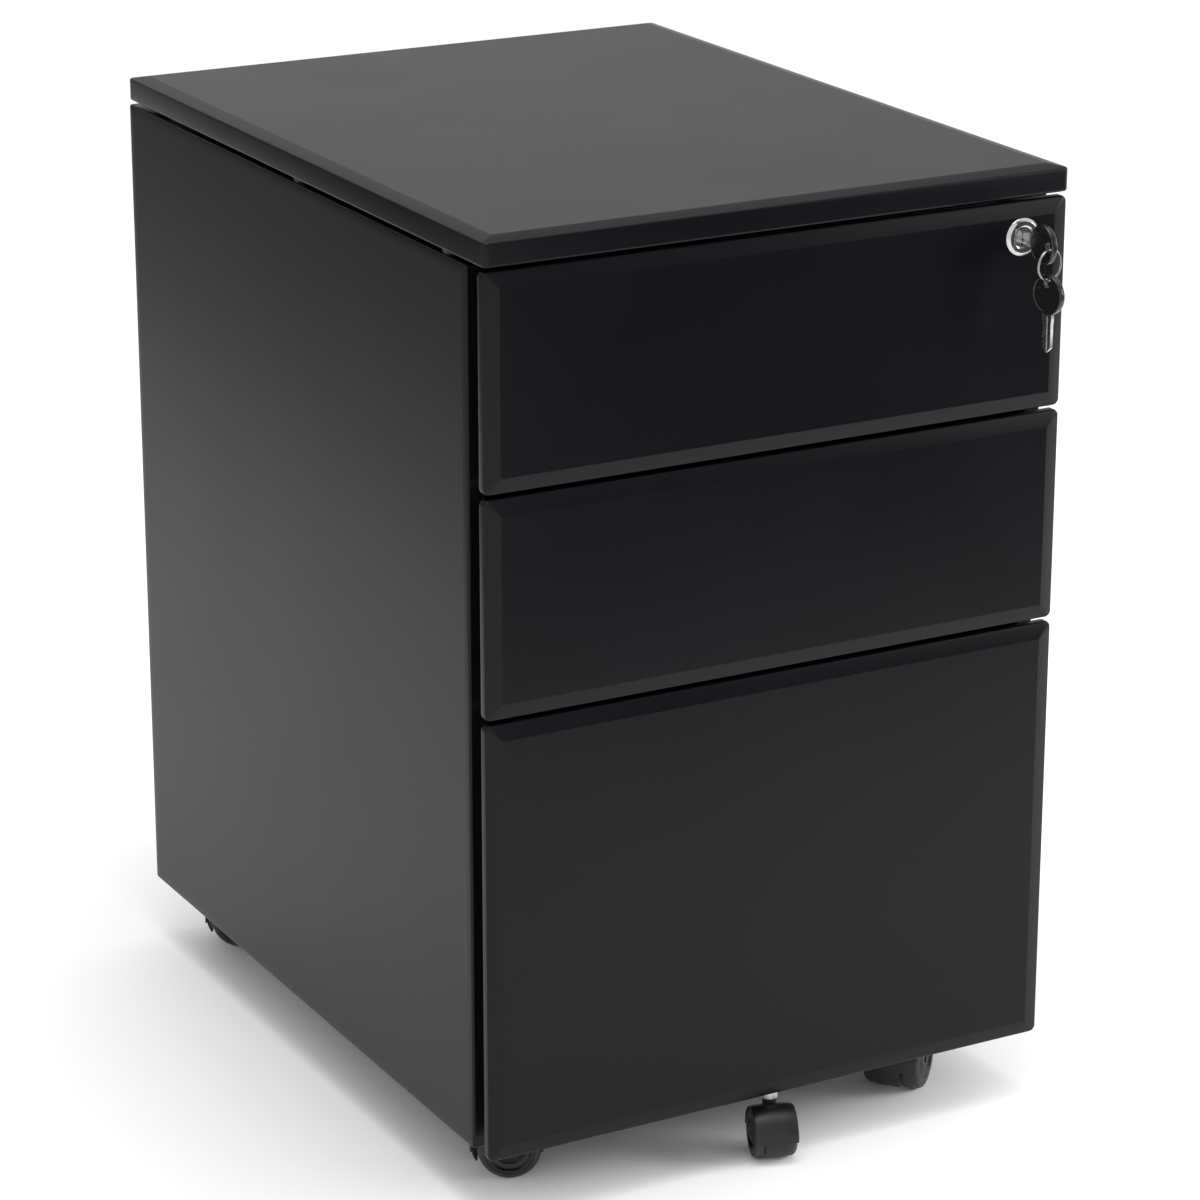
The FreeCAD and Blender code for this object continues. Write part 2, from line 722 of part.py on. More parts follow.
def drawer_tray(drawer):
    """The folded box behind a front, and the lock catch welded to its right-hand side."""
    floor = tray_floor(drawer)
    height = tray_height(drawer)
    front = behind("Sizes.front_depth")
    back = behind(f"{slide_back(drawer)} + Sizes.tray_past_slide")
    outer = box(f"tray_outer_{drawer}", (f"-{TRAY_HALF}", TRAY_HALF), (front, back),
                (floor, f"{floor} + {height}"))
    inner = box(f"tray_inner_{drawer}", (f"-{TRAY_HALF} + {METAL}", f"{TRAY_HALF} - {METAL}"),
                (f"{front} + {METAL}", f"{back} - {METAL}"),
                (f"{floor} + {METAL}", f"{floor} + {height} + {PAST}"))
    shell = cut(f"tray_shell_{drawer}", outer, inner)
    near = "Sizes.bar_set_back + 2 * Sizes.bar_metal"
    low = f"{floor} + Sizes.catch_above_tray_floor"
    catch = box(f"tray_catch_{drawer}",
                (TRAY_HALF, f"{UPRIGHT_FACE} - Sizes.catch_side_gap"),
                (behind(near), behind(f"{near} + Sizes.bar_metal")),
                (low, f"{low} + Sizes.catch_height"))
    name = f"drawer_{drawer}_tray"
    keep(name, group(name, shell, catch))


def drawer_screws(drawer):
    """Screws through the tray's front wall into the front's returned edge."""
    screws = []
    floor = tray_floor(drawer)
    height = tray_height(drawer)
    for side in (-1, 1):
        for share in SCREW_SHARES:
            number = len(screws)
            spot = (f"{side} * ({TRAY_HALF} - Sizes.front_return)",
                    behind(f"Sizes.front_depth + {METAL}"), f"{floor} + {height} * {share}")
            screws.append(rod(f"front_screw_{drawer}_{number}", size("screw_head_radius"),
                              size("screw_head_height"), spot, "Y"))
    name = f"drawer_{drawer}_screws"
    keep(name, group(f"{name}_group", *screws))


def file_rails():
    """Bars along the tops of the file tray's sides that hanging files hook over."""
    high = f"{tray_floor(3)} + {tray_height(3)} + Sizes.file_rail_above"
    bar = box("file_rail",
              (f"{TRAY_HALF} - {METAL} - Sizes.file_rail_metal", f"{TRAY_HALF} - {METAL}"),
              (behind("Sizes.front_depth + Sizes.file_rail_end_gap"),
               behind(f"{slide_back(3)} + Sizes.tray_past_slide - Sizes.file_rail_end_gap")),
              (f"{high} - Sizes.file_rail_height", high))
    pair("file_rails", bar)


# ---------------------------------------------------------------- lock gear


def turned_about_lock(body, front):
    """Stand a body that was turned about Z on the lock's axis, its Z = 0 plane at 'front'."""
    body.Placement = Placement(Vector(), Rotation(Vector(1, 0, 0), 90))
    move(body, LOCK_X, behind(front), LOCK_Z)


def lock_housing():
    """Barrel and bezel in one turning, with the bore that the plug turns in."""
    body = new_body("lock_housing")
    bore = "(Sizes.plug_radius + Sizes.running_clearance)"
    barrel = size("lock_barrel_radius")
    length = size("lock_barrel_length")
    rim = size("bezel_radius")
    proud = size("bezel_height")
    sketch = new_sketch(body, "XZ")
    draw_polygon(sketch, [
        (bore, f"-{length}"), (barrel, f"-{length}"), (barrel, "0"), (rim, "0"),
        (rim, size("bezel_edge")), (f"{rim} + Sizes.bezel_edge - {proud}", proud), (bore, proud)])
    revolve(body, sketch)
    turned_about_lock(body, "0")
    keep("lock_housing", body)


def lock_nut():
    body = new_body("lock_nut")
    sketch = new_sketch(body, "XY")
    radius = size("lock_nut_radius")
    draw_polygon(sketch, [
        (f"{radius} * {math.cos(math.radians(60 * k)):.6f}",
         f"{radius} * {math.sin(math.radians(60 * k)):.6f}") for k in range(6)])
    draw_circle(sketch, "0", "0", "(Sizes.lock_barrel_radius + Sizes.running_clearance)")
    pad(body, sketch, size("lock_nut_height"))
    turned_about_lock(body, f"{METAL} + Sizes.lock_nut_height")
    keep("lock_nut", body)


def lock_plug():
    """The turning core, slotted for the key blade."""
    body = new_body("lock_plug")
    sketch = new_sketch(body, "XZ")
    radius = size("plug_radius")
    low = "-(Sizes.lock_barrel_length + Sizes.plug_past_barrel)"
    high = "(Sizes.bezel_height - Sizes.plug_recess)"
    draw_polygon(sketch, [("0", low), (radius, low), (radius, high), ("0", high)])
    revolve(body, sketch)
    slot = new_sketch(body, "XY", high)
    half_x = "(Sizes.blade_thickness / 2 + Sizes.keyway_gap)"
    half_y = "(Sizes.blade_width / 2 + Sizes.keyway_gap)"
    draw_polygon(slot, [(f"-{half_x}", f"-{half_y}"), (half_x, f"-{half_y}"),
                        (half_x, half_y), (f"-{half_x}", half_y)])
    pocket(body, slot, f"Sizes.blade_length - Sizes.bow_standoff + Sizes.bezel_height + {PAST}")
    turned_about_lock(body, "0")
    keep("lock_plug", body)


CAM_BACK = "(Sizes.lock_barrel_length + Sizes.plug_past_barrel + Sizes.cam_metal)"


def lock_cam():
    """The arm on the back of the plug. Its pin points back, under the shelf of the lock bar."""
    body = new_body("lock_cam")
    arm = size("cam_arm")
    round_end = size("cam_pin_radius")
    plate = new_sketch(body, "XY")
    hub = size("plug_radius")
    draw_polygon(plate, [(f"-{hub}", hub), (f"-{hub}", "0"), (f"-{round_end}", f"-{arm}"),
                         (round_end, f"-{arm}"), (hub, "0"), (hub, hub)])
    pad(body, plate, size("cam_metal"))
    pin_sketch = new_sketch(body, "XY")
    draw_circle(pin_sketch, "0", f"-{arm}", round_end)
    pad(body, pin_sketch,
        f"Sizes.bar_set_back + Sizes.bar_metal - {CAM_BACK} - Sizes.cam_end_gap",
        backwards=True)
    turned_about_lock(body, CAM_BACK)
    keep("lock_cam", body)


def cam_screw():
    head = rod("cam_screw", size("screw_head_radius"), size("screw_head_height"),
               (LOCK_X, behind(CAM_BACK), LOCK_Z), "Y")
    keep("cam_screw", head)


def hook_low(drawer):
    """Z of the underside of the lock bar's hook for a drawer, unlocked."""
    return (f"({tray_floor(drawer)} + Sizes.catch_above_tray_floor - Sizes.hook_clearance"
            " - Sizes.hook_height)")


BAR_X = (f"({UPRIGHT_FACE} + Sizes.bar_side_gap)",
         f"({UPRIGHT_FACE} + Sizes.bar_side_gap + Sizes.bar_width)")
SHELF_LOW = f"({LOCK_Z} - Sizes.cam_arm + Sizes.cam_pin_radius + Sizes.cam_end_gap)"


def lock_bar():
    """The flat bar that slides up behind the right-hand flange, with a hook for every drawer."""
    y = (behind("Sizes.bar_set_back"), behind("Sizes.bar_set_back + Sizes.bar_metal"))
    bottom = f"{hook_low(3)} - Sizes.bar_tail"
    shelf_high = f"{SHELF_LOW} + Sizes.bar_metal"
    strip = box("bar_strip", BAR_X, y, (bottom, shelf_high))
    shelf = box("bar_shelf",
                (f"{LOCK_X} - Sizes.cam_pin_radius - Sizes.shelf_past_pin", BAR_X[0]), y,
                (SHELF_LOW, shelf_high))
    hooks = [
        box(f"bar_hook_{drawer}", (f"{TRAY_HALF} + Sizes.hook_side_gap", BAR_X[0]), y,
            (hook_low(drawer), f"{hook_low(drawer)} + Sizes.hook_height"))
        for drawer in (1, 2, 3)]
    keep("lock_bar", fuse("lock_bar", strip, shelf, *hooks))


def lock_bar_guides():
    """Blocks on the right-hand side that the lock bar slides through."""
    guides = []
    gap = size("guide_gap")
    wall = size("guide_wall")
    height = size("guide_height")
    front = size("bar_set_back")
    back = f"{front} + Sizes.bar_metal"
    for drawer in (2, 3):
        low = f"({hook_low(drawer)} + Sizes.guide_above_hook)"
        outer = box(f"guide_outer_{drawer}",
                    (f"{BAR_X[0]} - {wall}", f"{HALF_WIDTH} - {METAL}"),
                    (behind(f"{front} - {wall}"), behind(f"{back} + {wall}")),
                    (low, f"{low} + {height}"))
        slot = box(f"guide_slot_{drawer}",
                   (f"{BAR_X[0]} - {gap}", f"{BAR_X[1]} + {gap}"),
                   (behind(f"{front} - {gap}"), behind(f"{back} + {gap}")),
                   (f"{low} - {PAST}", f"{low} + {height} + {PAST}"))
        guides.append(cut(f"guide_{drawer}", outer, slot))
    keep("lock_bar_guides", group("lock_bar_guide_group", *guides))


# ---------------------------------------------------------------- keys


def key_bow(name):
    """The plastic grip: a round plate in the YZ plane about its ring hole at the origin.

    The blade side of the grip is towards +Y.
    """
    body = new_body(name)
    sketch = new_sketch(body, "YZ")
    middle = "(Sizes.bow_length / 2 - Sizes.bow_hole_inset)"
    draw_circle(sketch, middle, "0", "(Sizes.bow_length / 2)")
    draw_circle(sketch, "0", "0", size("bow_hole_radius"))
    pad(body, sketch, size("bow_thickness"), both_ways=True)
    return body


def key_blade(name):
    """The metal blade, in the YZ plane of the same frame as the grip."""
    body = new_body(name)
    sketch = new_sketch(body, "YZ")
    start = "(Sizes.bow_length - Sizes.bow_hole_inset)"
    end = f"({start} + Sizes.blade_length)"
    half = "(Sizes.blade_width / 2)"
    draw_polygon(sketch, [
        (start, f"-{half}"), (f"{end} - {half}", f"-{half}"), (end, "0"),
        (f"{end} - {half}", half), (start, half)])
    pad(body, sketch, size("blade_thickness"), both_ways=True)
    return body


RING_DROP = "(Sizes.bow_hole_radius - Sizes.ring_wire - Sizes.ring_gap)"
RING_Z = f"({LOCK_Z} - {RING_DROP} - Sizes.ring_radius)"
SPARE_HOLE_Z = f"({RING_Z} - Sizes.ring_radius - {RING_DROP})"


def keys():
    hole_y = behind(f"-{HOLE_REACH}")
    for name, make in (("key_bow", key_bow), ("key_blade", key_blade)):
        body = make(name)
        move(body, LOCK_X, hole_y, LOCK_Z)
        keep(name, body)
    ring = doc.addObject("Part::Torus", "key_ring")
    ring.setExpression("Radius1", size("ring_radius"))
    ring.setExpression("Radius2", size("ring_wire"))
    upright = Rotation(Vector(1, 0, 0), 90)
    turn = Rotation(Vector(0, 0, 1), value(size("ring_turn")))
    ring.Placement = Placement(Vector(), turn * upright)
    move(ring, LOCK_X, hole_y, RING_Z)
    keep("key_ring", ring)
    hanging = Rotation(Vector(1, 0, 0), -90)
    for name, make in (("spare_key_bow", key_bow), ("spare_key_blade", key_blade)):
        body = make(name)
        body.Placement = Placement(Vector(), turn * hanging)
        move(body, LOCK_X, hole_y, SPARE_HOLE_Z)
        keep(name, body)


# ---------------------------------------------------------------- casters


def corner_places():
    """Swivel axes of the corner casters."""
    inset = f"({HALF_WIDTH} - Sizes.caster_inset)"
    return {
        f"{end}_{side}": (f"{sign} * {inset}", behind(SET_BACK[end]))
        for end in ("front", "rear") for side, sign in (("left", -1), ("right", 1))
    }


FIFTH_PLACE = (size("fifth_caster_x"), behind(size("fifth_caster_set_back")))


def heading(caster):
    """Turn about Z that points a caster's +X from its swivel axis to its wheels."""
    return Rotation(Vector(0, 0, 1), value(size(f"{caster}_trail_angle")))


def caster_hood(caster, kind, place):
    """Shell over both wheels, spine between them with the swivel boss, and the axle pin.

    Drawn with the swivel axis on Z and the wheels trailing towards +X.
    """
    name = f"{caster}_hood"
    radius = size(f"{kind}_wheel_radius")
    inner = size(f"{kind}_hood_inner")
    outer = f"({inner} + Sizes.hood_wall)"
    trail = size(f"{kind}_trail")
    middle = f"({trail} + Sizes.{kind}_hood_shift)"
    spine = size(f"{kind}_spine_width")
    wide = f"({spine} + 2 * (Sizes.wheel_side_gap + Sizes.{kind}_wheel_width))"
    tongue = size(f"{kind}_tongue")
    bore = f"(Sizes.{kind}_pin_radius + Sizes.running_clearance)"
    top = size(f"{kind}_hood_top")
    skirt = f"({radius} - Sizes.hood_skirt)"

    def drum(part, drum_radius, width, x):
        return rod(f"{name}_{part}", drum_radius, width, (x, f"-{width} / 2", radius), "Y")

    def above(part, x_low, half_y, z_low):
        return box(f"{name}_{part}", (x_low, f"{middle} + {outer}"),
                   (f"-{half_y} - {PAST}", f"{half_y} + {PAST}"), (z_low, f"{top} + {PAST}"))

    def common(part, first, second):
        piece = doc.addObject("Part::Common", f"{name}_{part}")
        piece.Base = first
        piece.Tool = second
        return piece

    shell = cut(f"{name}_shell_tube", drum("shell_outer", outer, wide, middle),
                drum("shell_inner", inner, f"({wide} + 2 * {PAST})", middle))
    cover = common("cover", shell,
                   above("cover_side", f"{middle} - {outer}", f"{wide} / 2", skirt))
    tongue_tube = cut(f"{name}_tongue_tube", drum("tongue_outer", outer, tongue, middle),
                      drum("tongue_inner", inner, f"({tongue} + 2 * {PAST})", middle))
    tongue_piece = common("tongue", tongue_tube,
                          above("tongue_side", trail, f"{tongue} / 2",
                                size(f"{kind}_tongue_low")))
    web = common("web", drum("web_disc", f"({inner} + Sizes.hood_wall / 2)", spine, middle),
                 above("web_side", f"{middle} - {outer}", f"{spine} / 2", skirt))
    hub = drum("hub", size(f"{kind}_hub_radius"), spine, trail)
    boss = rod(f"{name}_boss", f"({spine} / 2)", f"{top} - {radius} + Sizes.hood_boss_height",
               ("0", "0", radius))
    solid = fuse(f"{name}_solid", cover, tongue_piece, web, hub, boss)
    bored = cut(f"{name}_bored", solid, group(
        f"{name}_bores",
        rod(f"{name}_bore", bore, f"{top} - {radius} + Sizes.hood_boss_height",
            ("0", "0", f"{radius} + Sizes.pin_above_axle")),
        drum("axle_bore", size("axle_radius"), f"({spine} + 2 * {PAST})", trail)))
    axle = drum("axle", size("axle_radius"), f"({wide} - 2 * Sizes.{kind}_wheel_shoulder)", trail)
    node = group(f"{name}_group", bored, axle)
    node.Placement = Placement(Vector(value(place[0]), value(place[1]), 0), heading(caster))
    keep(name, node)


def caster_wheel(caster, letter, side, kind, place):
    """One wheel: tread with bevelled shoulders, a dished outer face and the axle bore."""
    name = f"{caster}_wheel_{letter}"
    body = new_body(name)
    radius = size(f"{kind}_wheel_radius")
    width = size(f"{kind}_wheel_width")
    bore = "(Sizes.axle_radius + Sizes.running_clearance)"
    shoulder = size(f"{kind}_wheel_shoulder")
    dish = size(f"{kind}_dish_radius")
    hub = size(f"{kind}_wheel_hub_radius")
    floor = f"{width} - {shoulder}"
    sketch = new_sketch(body, "XZ")
    draw_polygon(sketch, [
        (bore, "0"), (f"{radius} - {shoulder}", "0"), (radius, shoulder),
        (radius, floor), (f"{radius} - {shoulder}", width), (dish, width),
        (f"{dish} - {shoulder}", floor), (f"{hub} + {shoulder} / 2", floor), (hub, width),
        (bore, width)])
    revolve(body, sketch)
    turn = heading(caster)
    aside = Rotation(Vector(1, 0, 0), -90 if side > 0 else 90)
    start = value(f"Sizes.{kind}_spine_width / 2 + Sizes.wheel_side_gap")
    spot = turn.multVec(Vector(value(size(f"{kind}_trail")), side * start, 0))
    body.Placement = Placement(
        Vector(value(place[0]) + spot.x, value(place[1]) + spot.y, value(radius)), turn * aside)
    keep(name, body)


def caster(name, kind, place):
    caster_hood(name, kind, place)
    caster_wheel(name, "a", 1, kind, place)
    caster_wheel(name, "b", -1, kind, place)


def stem(name, kind, place, collar_high, top):
    """Swivel pin in the hood, collar above it and the end that goes up into the cabinet."""
    body = new_body(name)
    pin_radius = size(f"{kind}_pin_radius")
    low = f"(Sizes.{kind}_wheel_radius + Sizes.pin_above_axle + Sizes.stem_end_gap)"
    collar_low = f"(Sizes.{kind}_hood_top + Sizes.hood_boss_height + Sizes.stem_end_gap)"
    collar = size("collar_radius")
    sketch = new_sketch(body, "XZ")
    draw_polygon(sketch, [
        ("0", low), (pin_radius, low), (pin_radius, collar_low), (collar, collar_low),
        (collar, collar_high), (STEM_RADIUS, collar_high), (STEM_RADIUS, top), ("0", top)])
    revolve(body, sketch)
    move(body, place[0], place[1], "0")
    return body


def corner_stems():
    top = f"({BASE_PAN_Z} + {METAL} + Sizes.base_channel_height + Sizes.stem_past_channel)"
    stems = [stem(f"{name}_stem", "corner", place, BASE_PAN_Z, top)
             for name, place in corner_places().items()]
    keep("caster_stems", group("caster_stem_group", *stems))


def fifth_caster_mount():
    """A short channel, open to the front, under the file tray, and the stem it holds."""
    metal = size("bracket_metal")
    half = "Sizes.bracket_length / 2"
    x = (f"Sizes.fifth_caster_x - {half}", f"Sizes.fifth_caster_x + {half}")
    near = "Sizes.front_depth + Sizes.bracket_gap"
    far = f"{PANEL_FRONT} - 2 * Sizes.bracket_gap"
    low = f"(Sizes.floor_clearance + {METAL})"
    high = tray_floor(3)
    outer = box("bracket_outer", x, (behind(near), behind(far)), (low, high))
    inner = box("bracket_inner", (f"{x[0]} - {PAST}", f"{x[1]} + {PAST}"),
                (behind(f"{near} - {PAST}"), behind(f"{far} - {metal}")),
                (f"{low} + {metal}", f"{high} - {metal}"))
    hollow = cut("bracket_hollow", outer, inner)
    hole = rod("bracket_hole", STEM_RADIUS, f"{metal} + 2 * {PAST}",
               (*FIFTH_PLACE, f"{low} - {PAST}"))
    keep("fifth_caster_bracket", cut("fifth_caster_bracket", hollow, hole))
    floor = size("floor_clearance")
    keep("fifth_caster_stem", stem("fifth_caster_stem", "fifth", FIFTH_PLACE, floor,
                                   f"({floor} + Sizes.fifth_stem_length)"))


# ---------------------------------------------------------------- the whole cabinet


def build():
    cap_top()
    cap_fastenings()
    side_panel()
    back_panel()
    back_panel_rivets()
    base_pan()
    base_channels()
    front_top_rail()
    slide_uprights()
    for drawer in (1, 2, 3):
        drawer_front(drawer)
        drawer_tray(drawer)
        drawer_slides(drawer)
        drawer_screws(drawer)
    file_rails()
    lock_housing()
    lock_nut()
    lock_plug()
    lock_cam()
    cam_screw()
    lock_bar()
    lock_bar_guides()
    keys()
    for name, place in corner_places().items():
        caster(name, "corner", place)
    caster("fifth", "fifth", FIFTH_PLACE)
    corner_stems()
    fifth_caster_mount()


def check_and_export():
    """Stop on any failed object, then write every node to its own file."""
    doc.recompute()
    for thing in doc.Objects:
        if any(state in thing.State for state in ("Invalid", "Error")):
            raise RuntimeError(f"{thing.Label} failed: {thing.State}")
    for name, thing in nodes.items():
        if thing.Shape.isNull() or not thing.Shape.isValid():
            raise RuntimeError(f"{name} has no valid shape")
    os.makedirs("parts", exist_ok=True)
    for name, thing in nodes.items():
        thing.Shape.exportStep(f"parts/{name}.step")
        print(f"{name}: {len(thing.Shape.Solids)} solids, {thing.Shape.Volume / 1000:.2f} cm3")
    print(len(nodes), "nodes")


build()
check_and_export()
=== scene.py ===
"""The finished look of the rolling pedestal cabinet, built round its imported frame."""

import json
import math

import bmesh
import bpy
from mathutils import Matrix, Vector


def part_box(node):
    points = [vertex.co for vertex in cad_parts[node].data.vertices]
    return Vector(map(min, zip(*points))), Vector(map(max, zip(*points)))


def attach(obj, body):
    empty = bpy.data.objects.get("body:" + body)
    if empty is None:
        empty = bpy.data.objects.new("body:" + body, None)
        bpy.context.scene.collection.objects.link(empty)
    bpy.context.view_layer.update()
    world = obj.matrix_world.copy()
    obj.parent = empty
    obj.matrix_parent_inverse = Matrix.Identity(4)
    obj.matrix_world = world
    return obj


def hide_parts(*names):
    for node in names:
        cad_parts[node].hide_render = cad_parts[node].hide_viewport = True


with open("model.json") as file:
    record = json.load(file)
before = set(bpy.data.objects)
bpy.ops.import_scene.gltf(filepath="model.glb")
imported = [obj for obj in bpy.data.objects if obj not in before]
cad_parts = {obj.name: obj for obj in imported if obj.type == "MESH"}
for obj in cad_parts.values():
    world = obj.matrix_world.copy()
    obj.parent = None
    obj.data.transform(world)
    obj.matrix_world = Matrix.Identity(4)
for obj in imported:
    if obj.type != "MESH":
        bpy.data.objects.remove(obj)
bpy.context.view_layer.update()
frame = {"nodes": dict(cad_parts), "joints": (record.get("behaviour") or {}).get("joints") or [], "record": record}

# ---------------------------------------------------------------- sizes, in metres

MM = 0.001
SHEET = 1.0 * MM
FOLD = 1.7 * MM            # outer radius of a fold in the sheet
FLAT_INSET = 4 * FOLD      # where the flat face of a panel or a tray is closed
HOLE_MARGINS = (1.5 * SHEET, 0.6 * SHEET, 0)   # rings of flat sheet kept round a hole
CREASE = 1.5 * MM          # outer radius where a bevelled rim meets a wall
FLAT_MARGIN = 1.0 * MM     # flat sheet kept beside a crease, so that the face shades flat
FACE_CREASE = 1.5 * MM     # radius of the gentle crease between rim and face
TIGHT = 0.3 * MM           # smallest radius a corner keeps
CAP_RIM = 10.0 * MM
CAP_RISE = 2.2 * MM
CAP_CORNER = 3.5 * MM
CAP_RETURN = 14.0 * MM
FRONT_RIM = 9.75 * MM
FRONT_RISE = 2.3 * MM
FRONT_CORNER = 4.0 * MM
FRONT_RETURN = 12.0 * MM
PANEL_CORNER = 2.2 * MM
TRAY_CORNER = 2.5 * MM
HEM = 8.0 * MM
HEM_DEPTH = 2.2 * SHEET
LOCK_HOLE = 8.05 * MM
BOW_RADIUS = 12.0 * MM
BOW_THICKNESS = 4.0 * MM
BOW_HOLE_INSET = 5.0 * MM
BOW_HOLE = 2.8 * MM
BLADE_LENGTH = 23.0 * MM
BLADE_WIDTH = 8.0 * MM
BLADE_THICKNESS = 2.2 * MM
RING_RADIUS = 9.2 * MM
RING_WIRE = 0.40 * MM
RING_TURNS_APART = 0.80 * MM
BIT_STEP = 2.6 * MM        # from one cut of a key to the next
BIT_DEPTHS = (1.1 * MM, 2.0 * MM, 0.6 * MM, 1.6 * MM, 0.9 * MM)
BIT_MOUTH = 1.9 * MM                  # a cut's width at the edge of the blade
BIT_FLOOR = (0.65 * MM, 1.25 * MM)    # where its flat floor starts and ends
BLADE_SET_IN = 0.4 * MM               # how far the blade reaches into the grip
GROOVE = (-1.7 * MM, -0.4 * MM)       # the milled groove across a blade
GROOVE_FLOOR = 0.65 * MM              # and its floor, from the blade's middle plane
LOCK_BORE = 6.05 * MM
LOCK_BARREL = 8.0 * MM
CATCH_BEHIND = (28 * MM, 31 * MM)     # the lock catch, from the front of the tray
CATCH_ABOVE = (66 * MM, 78 * MM)      # and from its floor
SLIDE_METAL = 1.2 * MM
SLIDE_FOLD = 1.9 * MM
SLIDE_LIP_FOLD = 0.55 * MM
MEMBER_DEPTH = {"cabinet_members": 8.9 * MM, "middle_members": 7.0 * MM,
                "drawer_members": 5.7 * MM}
BALL = 1.35 * MM
BALL_GAP = 0.05 * MM
BALL_STEP = 9.0 * MM
BALLS = 11
CAGE_END_GAP = 12 * MM
CAGE_FROM_TIP = 1.6 * MM
CAGE_HALF_METAL = 0.3 * MM
CAGE_HALF_WIDTH = 0.9 * MM
CASTERS = {
    "corner": {
        "wheel_width": 12.5 * MM, "spine": 11.0 * MM, "inner": 21.6 * MM, "shift": 1.5 * MM,
        "tongue": 16.0 * MM, "tongue_low": 7.0 * MM, "hub": 8.8 * MM, "tyre": 3.4 * MM,
    },
    "fifth": {
        "wheel_width": 8.7 * MM, "spine": 8.8 * MM, "inner": 16.3 * MM, "shift": 0.3 * MM,
        "tongue": 15.0 * MM, "tongue_low": 5.0 * MM, "hub": 7.0 * MM, "tyre": 2.8 * MM,
    },
}
HOOD_WALL = 1.5 * MM
WHEEL_GAP = 0.4 * MM
AXLE = 2.5 * MM
BOSS_RISE = 2.0 * MM
HOOD_SPAN = (-3, 183)      # degrees of arc that a hood covers
TONGUE_TOP = 30            # degrees where its tongue ends under the hood
AXLE_END_GAP = 2.2 * MM
AXIS = 0.01 * MM           # how near a turned profile comes to its axis

# Widths of the rounded edges on the CAD nodes that show as they are, in millimetres.
EDGE_WIDTHS = {
    "back_panel": 0.3, "base_pan": 0.3, "base_channels": 0.4, "front_top_rail": 0.35,
    "slide_uprights": 0.5, "lock_bar": 0.3, "lock_bar_guides": 0.3, "file_rails": 0.6,
    "fifth_caster_bracket": 0.4, "lock_nut": 0.3,
}

CAMERA_PLACE = (-1.2180, -2.2272, 1.1652)
CAMERA_YAW = 28.77
CAMERA_PITCH = 18.92
CAMERA_ROLL = 0.07
CAMERA_LENS = 125.9
CAMERA_FILM = 36

SHARP = math.radians(38)        # faces that meet at more than this keep a sharp edge
SOFT_EDGE = math.radians(30)    # edges that turn more than this are rounded by soften()
ARC_STEPS = 5

JOINTS = {joint["name"]: joint for joint in frame["joints"]}


# ---------------------------------------------------------------- node materials


class Finish:
    """A material and the few node recipes that the finishes share."""

    def __init__(self, name, **sockets):
        self.material = bpy.data.materials.new(name)
        self.material.use_nodes = True
        self.tree = self.material.node_tree
        self.shader = self.tree.nodes["Principled BSDF"]
        for socket, number in sockets.items():
            self.shader.inputs[socket.replace("_", " ")].default_value = number
        self.place = self.node("ShaderNodeTexCoord").outputs["Object"]

    def node(self, kind, **settings):
        made = self.tree.nodes.new(kind)
        for name, setting in settings.items():
            setattr(made, name, setting)
        return made

    def join(self, output, target):
        self.tree.links.new(output, target)

    def noise(self, size, detail=2.0, stretch=(1, 1, 1)):
        """Noise whose lumps are about this many metres across, drawn out along an axis."""
        scale = self.node("ShaderNodeMapping")
        scale.inputs["Scale"].default_value = stretch
        self.join(self.place, scale.inputs["Vector"])
        texture = self.node("ShaderNodeTexNoise")
        texture.inputs["Scale"].default_value = 1 / size
        texture.inputs["Detail"].default_value = detail
        self.join(scale.outputs["Vector"], texture.inputs["Vector"])
        return texture.outputs["Fac"]

    def spread(self, source, low, high, start=0.3, end=0.7):
        """The source's middle range mapped to low..high."""
        ranger = self.node("ShaderNodeMapRange")
        for name, number in zip(("From Min", "From Max", "To Min", "To Max"),
                                (start, end, low, high)):
            ranger.inputs[name].default_value = number
        self.join(source, ranger.inputs["Value"])
        return ranger.outputs["Result"]

    def blend(self, factor, first, second):
        """A colour between two, each either a colour or another blend."""
        mixer = self.node("ShaderNodeMix", data_type="RGBA")
        self.join(factor, mixer.inputs["Factor"])
        for name, colour in (("A", first), ("B", second)):
            socket = next(s for s in mixer.inputs if s.name == name and s.type == "RGBA")
            if isinstance(colour, tuple):
                socket.default_value = (*colour, 1)
            else:
                self.join(colour, socket)
        return next(s for s in mixer.outputs if s.type == "RGBA")

    def relief(self, *layers):
        """Bump from (height, depth in metres) layers, laid over each other."""
        normal = None
        for height, depth in layers:
            bump = self.node("ShaderNodeBump")
            bump.inputs["Distance"].default_value = depth
            self.join(height, bump.inputs["Height"])
            if normal is not None:
                self.join(normal, bump.inputs["Normal"])
            normal = bump.outputs["Normal"]
        self.join(normal, self.shader.inputs["Normal"])

    def edges(self, start=0.52, end=0.60):
        """0 on flat faces, rising to 1 on sharp outward edges."""
        return self.spread(self.node("ShaderNodeNewGeometry").outputs["Pointiness"], 0, 1,
                           start, end)

    def colour(self, source):
        self.join(source, self.shader.inputs["Base Color"])

    def roughness(self, source):
        self.join(source, self.shader.inputs["Roughness"])


